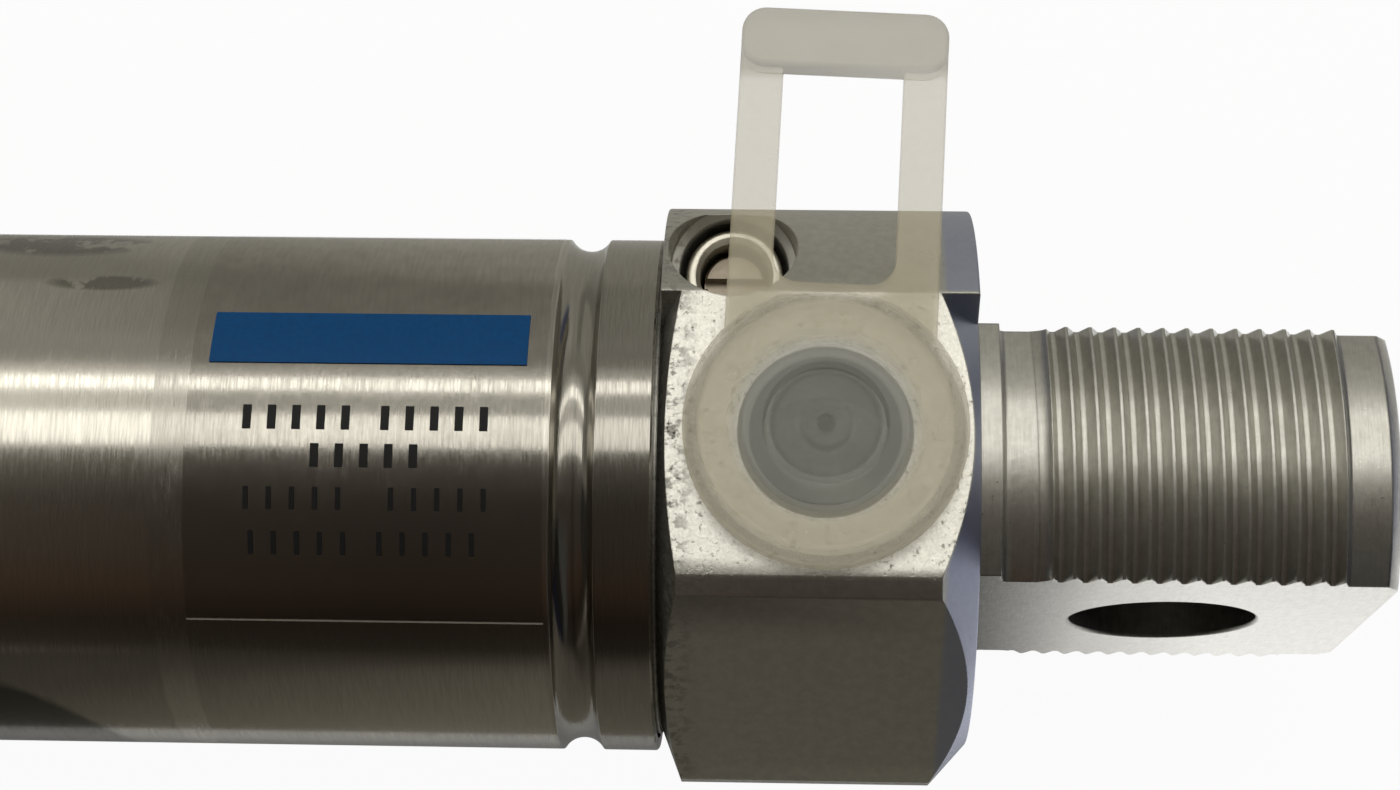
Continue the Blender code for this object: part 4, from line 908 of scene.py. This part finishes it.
def stainlessFinish():
    f = Finish("stainlessTube")
    look, film = tubeLook, labelSizes
    x, turn = f.part(0), f.degrees()
    streaks = f.noise((7.0, 0.5, 0.5))
    fine = f.noise((16.0, 1.2, 1.2), 2.0)
    clouds = f.noise((0.05, 0.09, 0.09))
    spots = f.noise(0.5)
    edge = f.noise(0.35, 4.0, 0.65)
    ragged = f.ramp(edge, 0.44, 0.50)
    large, small = [f.oval(*mark, look["smudgeSoft"]) * ragged for mark in look["smudges"]]
    smudges = large + small
    stain = f.oval(*look["stain"], 0.03 + f.ramp(edge, 0.3, 0.7) * 0.06) * f.ramp(turn, *look["stainFade"])
    adhesiveAndPaintedSheen = f.band(x, film["to"], film["residueEnd"], 0.08)
    # painted shade: under the label the tube is a little darker, and much darker on the side turned away from
    # the lamps
    paintedShadeUnderFilm = f.band(x, film["from"], film["to"], 0.05) * f.ramp(turn, 2.0, 24.0, 0.22, 1.0)
    paintedShadeUnderFilm = paintedShadeUnderFilm * f.ramp(turn, film["last"] + 0.2, film["last"] - 0.2)
    wiped = f.ramp(x, film["to"] + 0.1, film["to"] - 0.1)
    tone = f.ramp(clouds, 0.3, 0.7, 0.92, 1.06) - smudges * 0.45 - stain * 0.60
    # painted light on the adhesive band: darker where the lamps reflect, lighter on the side turned away from
    # them; its added roughness below is real
    tone = tone - adhesiveAndPaintedSheen * f.ramp(turn, 40.0, 58.0, 0.16, -0.2)
    # painted shade: the tube is darker between the label and the rear cap
    tone = tone * f.ramp(x, film["from"] - 0.6, film["from"], 0.66, 1.0)
    tone = tone * f.ramp(streaks, 0.3, 0.7, 1.08, 0.92) * (1.0 - paintedShadeUnderFilm * 0.30)
    roughness = 0.07 + f.ramp(streaks, 0.3, 0.7) * 0.11 + f.ramp(fine, 0.3, 0.7) * 0.07
    roughness = roughness + f.ramp(spots, 0.55, 0.75) * 0.04 + smudges * 0.10 + adhesiveAndPaintedSheen * 0.05 - wiped * 0.02
    normal = f.bump(streaks * 0.7 + fine * 0.3, look["grain"])
    colour = f.shaded(tone, look["colour"])
    f.principled({"Base Color": colour, "Metallic": 1.0, "Roughness": roughness, "Normal": normal})
    return f.material


# caps: milled and tumbled aluminium, pitted on the port's flat, turned smooth on the stem, with painted light
# and shade on some faces and a painted reflection on a chamfer
capLook = {
    "colour": (0.60, 0.59, 0.55), "chamferReflectionColour": (0.40, 0.46, 0.70), "grain": 0.012, "roundedEdge": 0.14,
}


def capFinish():
    f = Finish("capAluminium")
    c, look = capSizes, capLook
    x, y, height = f.part(0), f.part(1), f.part(2)
    tongueEnd, side = rearFace - collarLength, c["tongueHalf"] ** 2
    portFlat = f.ramp(height, flatDistance - 0.15, flatDistance - 0.02)
    stem = f.ramp(x, tongueEnd + 0.1, tongueEnd - 0.1) + f.ramp(x, shoulderX - 0.1, shoulderX + 0.1)
    mottle = f.noise(1.6, 3.0, 0.65)
    grain = f.noise(7.0, 2.0)
    flecks = f.noise(4.5, 3.0, 0.75)
    marks = f.noise((9.0, 0.5, 0.5))
    pits = f.ramp(f.noise(2.6), 0.60, 0.72) * portFlat
    tongueFlat = f.ramp(y * y, side - 1.6, side - 0.4) * f.ramp(x, tongueEnd, tongueEnd - 0.1)
    # painted shade: the bore of the tongue's eye is darkened
    eye = f.ramp(f.farFrom(x - c["eyeFromEnd"], height), c["eyeRadius"] + 0.25, c["eyeRadius"] + 0.15)
    eye = eye * f.ramp(y * y, side + 0.5, side + 0.2)
    worn = f.ramp(f.noise((1.3, 1.7, 1.7), 3.0, 0.65), 0.50, 0.60)
    worn = worn * f.band(x, rearFace - 1.7, rearFace + 0.5, 0.8)
    tone = f.ramp(mottle, 0.35, 0.65, 0.93, 1.05) - pits * 0.45
    # painted light: the port's flat, which faces the lamps, is painted lighter; the flecks in it are real
    tone = tone + portFlat * f.ramp(flecks, 0.35, 0.65, 0.22, 0.52)
    # painted shadow: the tongue's flats are darker near the collar, and painted lighter towards the tongue's
    # end
    tone = tone + tongueFlat * f.ramp(x, tongueEnd, tongueEnd - 8.0, -0.6, 0.5) - eye * 0.55
    tone = tone + stem * f.ramp(marks, 0.35, 0.65, 0.10, -0.02)
    tone = tone - worn * f.ramp(portFlat, 0.0, 1.0, 0.3, 0.7)
    # painted reflection: the collar's chamfer on the stem side is tinted towards a blue reflection
    chamferReflection = f.ramp(x, tongueEnd + 2.3, tongueEnd + 1.9) * f.ramp(f.farFrom(y, height), 15.7, 15.9)
    chamferReflection = chamferReflection * (1.0 - portFlat)
    colour = f.mixed(chamferReflection * 0.6, f.shaded(tone, look["colour"]), look["chamferReflectionColour"])
    roughness = 0.34 + worn * 0.15 - stem * 0.07 + f.ramp(grain, 0.35, 0.65) * 0.08 + pits * 0.25
    roughness = roughness + stem * f.ramp(marks, 0.35, 0.65) * 0.06
    rounded = f.node("Bevel", {"samples": 6}, {"Radius": look["roundedEdge"] * mm})
    relief = (grain * 0.4 + mottle * 0.4 + flecks * portFlat * 0.4 - pits) * (1.0 - stem * 0.85)
    normal = f.bump(relief + marks * stem * 0.35, look["grain"], rounded)
    f.principled({"Base Color": colour, "Metallic": 1.0, "Roughness": roughness, "Normal": normal})
    return f.material


# plugs: milky soft polyethylene, thin over the port and thick at the grip
plugLook = {
    "low": (0.69, 0.62, 0.42), "high": (0.75, 0.68, 0.48), "grip": (0.56, 0.515, 0.375),
    "rim": (0.50, 0.45, 0.325), "disc": (0.56, 0.555, 0.48), "alpha": 0.35, "grain": 0.010, "soft": 0.12,
}


def plasticFinish(side, centreX):
    p, look, port = plugSizes, plugLook, capSizes["portRadius"]
    f = Finish(side + "PlugPlastic")
    haze = f.noise(0.35)
    grain = f.noise(3.0, 2.0)
    across = f.part(1)
    radius = f.farFrom(f.part(0) - centreX, across)
    disc = f.ramp(radius, port + 1.15, port + 0.1)
    ridges = f.band(radius, p["dishRadius"] - 0.05, p["dishRadius"] + 0.2, look["soft"])
    ridges = ridges + f.band(radius, p["nubRadius"] - 0.15, p["nubRadius"] + 0.05, look["soft"]) * 0.6
    pip = f.ramp(radius, p["pipRadius"] + 0.15, p["pipRadius"] - 0.05)
    wall = f.band(radius, p["stemRadius"] - p["wall"] + 0.05, port + 0.1, look["soft"])
    rim = f.band(radius, p["rimRadius"] + 0.1, p["flangeRadius"] - 0.1, look["soft"])
    rim = rim * f.ramp(across, -p["flangeRadius"], 0.6 - p["flangeRadius"])
    hidden = f.ramp(f.part(2), flatDistance + 0.15, flatDistance)
    gripEdge = p["gripDepth"] - p["loopReach"]
    grip = f.ramp(across, gripEdge + 0.3, gripEdge - 0.1)
    colour = f.mixed(f.ramp(haze, 0.3, 0.7), look["low"], look["high"])
    for mask, name in ((grip, "grip"), (rim, "rim"), (disc, "disc")):
        colour = f.mixed(mask, colour, look[name])
    alpha = look["alpha"] - disc * 0.11 + grip * 0.17 + rim * 0.05 + ridges * 0.10 - pip * 0.07 + wall * 0.18
    alpha = (alpha + f.ramp(haze, 0.3, 0.7) * 0.03) * (1.0 - hidden * 0.9)
    roughness = 0.30 + f.ramp(grain, 0.3, 0.7) * 0.12
    normal = f.bump(grain * 0.6 + ridges * 0.8, look["grain"])
    f.principled({"Base Color": colour, "Roughness": roughness, "Alpha": alpha, "Normal": normal, "IOR": 1.5})
    return f.material


def plainFinish(name, colour, rough, roughSpread, scale, bumpHeight, metallic=1.0):
    f = Finish(name)
    grain = f.noise(scale)
    colour = f.shaded(f.ramp(f.noise(0.12), 0.3, 0.7, 0.92, 1.06), colour)
    roughness = rough + f.ramp(grain, 0.3, 0.7) * roughSpread
    normal = f.bump(grain, bumpHeight)
    f.principled({"Base Color": colour, "Metallic": metallic, "Roughness": roughness, "Normal": normal})
    return f.material


# clear lacquered film, a little dusty, with a painted highlight along its lower edge
filmLook = {"colour": (0.05, 0.035, 0.025), "edgeHighlightColour": (0.42, 0.38, 0.31), "alpha": 0.04}


def filmFinish():
    f = Finish("labelFilm")
    dust = f.noise(0.8)
    # painted highlight: a thin bright line along the film's lower edge
    rim = f.ramp(f.degrees(), labelSizes["last"] - 0.45, labelSizes["last"] - 0.30)
    alpha = filmLook["alpha"] + f.ramp(dust, 0.4, 0.7) * 0.03 + rim * 0.3
    colour = f.mixed(rim, filmLook["colour"], filmLook["edgeHighlightColour"])
    f.principled({"Base Color": colour, "Roughness": 0.3, "Alpha": alpha})
    return f.material


def inkFinish(name, colour):
    f = Finish(name)
    wear = f.noise(2.5)
    colour = f.shaded(f.ramp(wear, 0.35, 0.65, 0.92, 1.08), colour)
    roughness = 0.4 + f.ramp(wear, 0.3, 0.7) * 0.1
    f.principled({"Base Color": colour, "Roughness": roughness, "IOR": 1.28})
    return f.material


def dress(piece, finish):
    piece.data.materials.clear()
    piece.data.materials.append(finish)


# the object
ends = (("rear", rearPlace), ("front", frontPlace))
barrel = makeBarrel()
caps = [makeRearCap(), makeFrontCap()]
plugs = [makePlug(side, place) for side, place in ends]
sleeves = [makeSleeve(side, place(screwOffset)) for side, place in ends]
screws = [makeScrew(side, place(screwOffset)) for side, place in ends]
nuts = [makeNut("mounting", "mounting_nut_body"), makeNut("rod", "rod_nut_body")]
rod = makeRod()
wiper = makeWiper()
label = makeLabel()
print("pieces made")

plainLooks = {                   # name, colour, roughness and its spread, grain, bump height, metallic
    "rod_steel": ("rodSteel", (0.62, 0.62, 0.60), 0.10, 0.06, (9.0, 0.6, 0.6), 0.001),
    "zinc_steel": ("zincSteel", (0.58, 0.59, 0.60), 0.24, 0.12, 2.0, 0.004),
    "screw_steel": ("screwSteel", (0.34, 0.295, 0.24), 0.28, 0.12, 4.0, 0.004),
    "sleeve_steel": ("sleeveSteel", (0.82, 0.79, 0.70), 0.26, 0.1, (4.0, 4.0, 0.8), 0.003),
    "thread_aluminium": ("turnedAluminium", (0.60, 0.59, 0.56), 0.3, 0.1, (6.0, 0.8, 0.8), 0.003),
    "bush_bronze": ("bushBronze", (0.60, 0.42, 0.24), 0.35, 0.1, (4.0, 1.0, 1.0), 0.003),
    "magnet_ferrite": ("magnetFerrite", (0.08, 0.08, 0.09), 0.5, 0.1, 3.0, 0.004, 0.3),
    "seal_rubber": ("sealRubber", (0.03, 0.03, 0.03), 0.5, 0.15, 4.0, 0.005, 0.0),
    "seal_polyurethane": ("sealPolyurethane", (0.05, 0.07, 0.10), 0.4, 0.15, 3.0, 0.004, 0.0),
    "acetal": ("bearingAcetal", (0.75, 0.72, 0.64), 0.4, 0.1, 3.0, 0.003, 0.0),
}
finishes = {slot: plainFinish(*look) for slot, look in plainLooks.items()}
finishes["stainless_tube"] = stainlessFinish()
finishes["cap_aluminium"] = capFinish()
for piece in (barrel, *caps, *sleeves, *screws, *nuts, rod, wiper):
    dress(piece, finishes[piece["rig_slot"]])
for piece, (side, place) in zip(plugs, ends):
    dress(piece, plasticFinish(side, place(portOffset)))
finishes["plug_plastic"] = plugs[0].data.materials[0]
blueInk = inkFinish("blueInk", (0.0005, 0.066, 0.205))
darkInk = inkFinish("darkInk", (0.012, 0.012, 0.012))
for piece, finish in zip(label, (filmFinish(), blueInk, darkInk)):
    dress(piece, finish)
for part in frame["record"]["subparts"]:        # the inner pieces keep the finish that the model names
    if part["node"] in frame["nodes"]:
        dress(frame["nodes"][part["node"]], finishes[part["material_slot"]])
print("finishes set")


# studio: floor, light boxes and reflection cards, with sizes in metres and places in finishes in millimetres
studio = {
    "middle": 0.2, "worldLevel": 0.35, "floorSize": 4.0, "paper": (0.86, 0.86, 0.85, 1.0), "floorGlow": 0.95,
    "litFloorEnd": 7.0, "lampDistance": 0.48, "lampLength": 1.7, "lampColour": (1.0, 0.985, 0.93),
    "lamps": ((4.6, 20.5, 1.25), (26.0, 41.0, 1.85)),      # first and last angle, radiance
}


def grid(size):
    shape = bmesh.new()
    bmesh.ops.create_grid(shape, x_segments=1, y_segments=1, size=size)
    return shape


def raysThatSeeWhite(f, glossyShare=1.0):         # camera, transmission and glossy rays
    lightPath = f.tree.nodes.new("ShaderNodeLightPath")
    names = ("Is Camera Ray", "Is Transmission Ray", "Is Glossy Ray")
    camera, clear, glossy = [Wire(f.tree, lightPath.outputs[name]) for name in names]
    return f.node("Clamp", None, {"Value": camera + clear + glossy * glossyShare})


def makeFloor():
    shape = grid(0.5 * studio["floorSize"])
    height = boxInMm("mounting_nut")[0].z * mm
    bmesh.ops.translate(shape, verts=shape.verts, vec=(studio["middle"], 0.0, height))
    floor = newPiece("floor", shape, scale=1.0)
    f = Finish("floorPaper")
    diffuse = f.node("BsdfDiffuse", None, {"Color": studio["paper"]})
    glow = f.node("Emission", None, {"Color": (1.0, 1.0, 1.0, 1.0), "Strength": 1.0})
    # painted shadow in reflections: glossy rays see the floor's white glow only near the tongue's end, not
    # towards the collar or under the tube
    lit = f.ramp(f.part(0), rearFace - collarLength, studio["litFloorEnd"])
    white = raysThatSeeWhite(f, lit) * studio["floorGlow"]
    f.show(f.node("MixShader", None, {0: white, 1: diffuse, 2: glow}))
    dress(floor, f.material)
    return height


def hideFromAllButGlossyRays(card):
    card.visible_camera = False
    card.visible_diffuse = False
    card.visible_shadow = False
    card.visible_transmission = False


# a long tunnel of glowing dark and grey card that only reflections see: painted reflections, dimmed along X
# over chosen stretches of the tube and over the tongue
cardSizes = {
    "length": 3.9, "radius": 0.55, "gap": 0.028, "lift": 0.0004, "steps": 48, "span": 125.0,
    "levels": (                  # degrees from the zenith, + towards +Y, and what is seen there
        (-125, (0.36, 0.35, 0.31)), (-88, (0.34, 0.33, 0.29)), (-60, (0.36, 0.35, 0.31)),
        (-50, (0.30, 0.29, 0.26)), (-43, (0.31, 0.30, 0.265)), (-41, (0.6, 0.58, 0.52)),
        (-24, (0.8, 0.78, 0.70)), (-8, (0.45, 0.43, 0.38)), (-2, (0.2, 0.19, 0.16)),
        (6, (0.11, 0.10, 0.085)), (18, (0.065, 0.055, 0.045)), (38, (0.06, 0.048, 0.038)),
        (55, (0.055, 0.036, 0.025)), (72, (0.025, 0.018, 0.013)), (86, (0.03, 0.026, 0.02)),
        (95, (0.11, 0.10, 0.083)), (125, (0.17, 0.16, 0.13)),
    ),
    "dim": (60.0, 100.0), "far": (190.0, 240.0), "tongue": (-60.0, -110.0),      # from and to along X
    "tongueShade": (0.072, 0.070, 0.065),
}


def cardPaint():
    f = Finish("cardPaint")
    c = cardSizes
    x, across, up = f.part(0), f.part(1), f.part(2)
    angle = across.maths("ARCTAN2", across, up) * math.degrees(1.0)
    stops = [((degrees + c["span"]) / (2.0 * c["span"]), colour) for degrees, colour in c["levels"]]
    seen = f.node("ValToRGB", {"stops": stops}, {"Fac": f.ramp(angle, -c["span"], c["span"])})
    beyond = f.ramp(x, *c["far"])
    dimmed = f.ramp(x, *c["dim"]) * (1.0 - beyond)
    low = f.ramp(angle, 84.0, 96.0)
    lampEdge = f.band(angle, -57.0, -38.0, 3.0)
    dimmed = dimmed * (0.36 + low * 0.18) * (1.0 - lampEdge * 0.9)
    shown = f.shaded(1.0 - dimmed + beyond * low * 1.1, seen)
    overTongue = f.ramp(x, *c["tongue"])
    shown = f.shaded(1.0 + overTongue * f.ramp(angle, -40.0, -60.0) * 0.2, shown)
    shown = f.mixed(overTongue * f.band(angle, 30.0, 85.0, 8.0), shown, c["tongueShade"])
    f.glow(shown)
    return f.material


def makeCards(floorHeight):
    c = cardSizes
    radius, half = c["radius"], 0.5 * c["length"]
    level = floorHeight + c["lift"]
    profile = [(c["gap"], level)]
    for step in range(c["steps"] + 1):
        angle = math.pi * step / c["steps"]
        profile.append((radius * math.cos(angle), max(level, radius * math.sin(angle))))
    profile.append((-c["gap"], level))
    shape = bmesh.new()
    points = [shape.verts.new((studio["middle"] - half, y, z)) for y, z in profile]
    edges = [shape.edges.new(pair) for pair in zip(points, points[1:])]
    grown = bmesh.ops.extrude_edge_only(shape, edges=edges)["geom"]
    rim = [part for part in grown if isinstance(part, bmesh.types.BMVert)]
    bmesh.ops.translate(shape, verts=rim, vec=(2.0 * half, 0.0, 0.0))
    cards = newPiece("reflectionCards", shape, scale=1.0)
    dress(cards, cardPaint())
    hideFromAllButGlossyRays(cards)


# upright glowing cards past both ends, seen only in reflections: painted reflections for the faces that look
# along the axis
endCardSizes = {
    "width": 0.7, "foot": 0.02, "fade": (20.0, 45.0), "shade": (20.0, 70.0, 1.0, 0.15),
    "cards": (
        {"x": -0.12, "height": 0.14, "low": (0.062, 0.074, 0.140), "high": (0.10, 0.095, 0.08)},
        {"x": 0.62, "height": 0.50, "low": (0.20, 0.19, 0.165), "high": (0.20, 0.19, 0.165)},
    ),
}


def makeEndCards():
    e = endCardSizes
    upright = Matrix.Rotation(0.5 * math.pi, 3, "Y")
    for number, sizes in enumerate(e["cards"], 1):
        shape = grid(0.5)
        bmesh.ops.scale(shape, verts=shape.verts, vec=(sizes["height"], e["width"], 1.0))
        bmesh.ops.rotate(shape, verts=shape.verts, cent=origin, matrix=upright)
        middle = 0.5 * sizes["height"] - e["foot"]
        bmesh.ops.translate(shape, verts=shape.verts, vec=(sizes["x"], 0.0, middle))
        card = newPiece("endCard" + str(number), shape, scale=1.0)
        f = Finish("endCardPaint" + str(number))
        shown = f.mixed(f.ramp(f.part(2), *e["fade"]), sizes["low"], sizes["high"])
        f.glow(f.shaded(f.ramp(f.part(1), *e["shade"]), shown))
        dress(card, f.material)
        hideFromAllButGlossyRays(card)


def makeLamps():                 # long soft boxes, at angles from the zenith towards -Y
    length, distance = studio["lampLength"], studio["lampDistance"]
    for number, (first, last, radiance) in enumerate(studio["lamps"], 1):
        middle, half = math.radians(0.5 * (first + last)), math.radians(0.5 * (last - first))
        width = 2.0 * distance * math.tan(half)
        lamp = bpy.data.lights.new("softBox" + str(number), "AREA")
        lamp.shape = "RECTANGLE"
        lamp.size = length
        lamp.size_y = width
        lamp.energy = radiance * math.pi * length * width
        lamp.color = studio["lampColour"]
        box = bpy.data.objects.new(lamp.name, lamp)
        box.location = (studio["middle"], -distance * math.sin(middle), distance * math.cos(middle))
        box.rotation_euler = (-middle, 0.0, 0.0)
        box.visible_camera = False
        bpy.context.scene.collection.objects.link(box)


def makeWorld():
    world = bpy.data.worlds.new("studio")
    bpy.context.scene.world = world
    f = Finish("studio", world)
    strength = studio["worldLevel"] + raysThatSeeWhite(f) * (1.0 - studio["worldLevel"])
    f.show(f.node("Background", None, {"Color": (1.0, 1.0, 1.0, 1.0), "Strength": strength}))


# the camera stands over the rear cap, tipped a little towards +Y; the twist is in radians round its own axes
cameraSizes = {
    "x": 37.7, "height": 179.006, "tip": 13.5, "twist": (-0.037, -0.0312, -0.0114),
    "focus": 69.47, "sensor": 36.0, "near": 0.01,
}


def makeCamera():
    c = cameraSizes
    tip = math.radians(c["tip"])
    across = Vector((-1.0, 0.0, 0.0))
    upward = Vector((0.0, -math.cos(tip), math.sin(tip)))
    away = Vector((0.0, math.sin(tip), math.cos(tip)))
    turns = [Matrix.Rotation(turn, 3, axis) for turn, axis in zip(c["twist"], "XYZ")]
    axes = turns[2] @ turns[1] @ turns[0] @ Matrix((across, upward, away))
    place = (Vector((c["x"], 0.0, 0.0)) + away * c["height"]) * mm
    camera = bpy.data.cameras.new("camera")
    camera.lens = c["focus"]
    camera.sensor_width = c["sensor"]
    camera.clip_start = c["near"]
    stand = bpy.data.objects.new("camera", camera)
    stand.matrix_world = Matrix.Translation(place) @ axes.transposed().to_4x4()
    bpy.context.scene.collection.objects.link(stand)
    bpy.context.scene.camera = stand


floorHeight = makeFloor()
makeCards(floorHeight)
makeEndCards()
makeLamps()
makeWorld()
makeCamera()
bpy.context.scene.view_settings.view_transform = "Standard"
print("studio set")
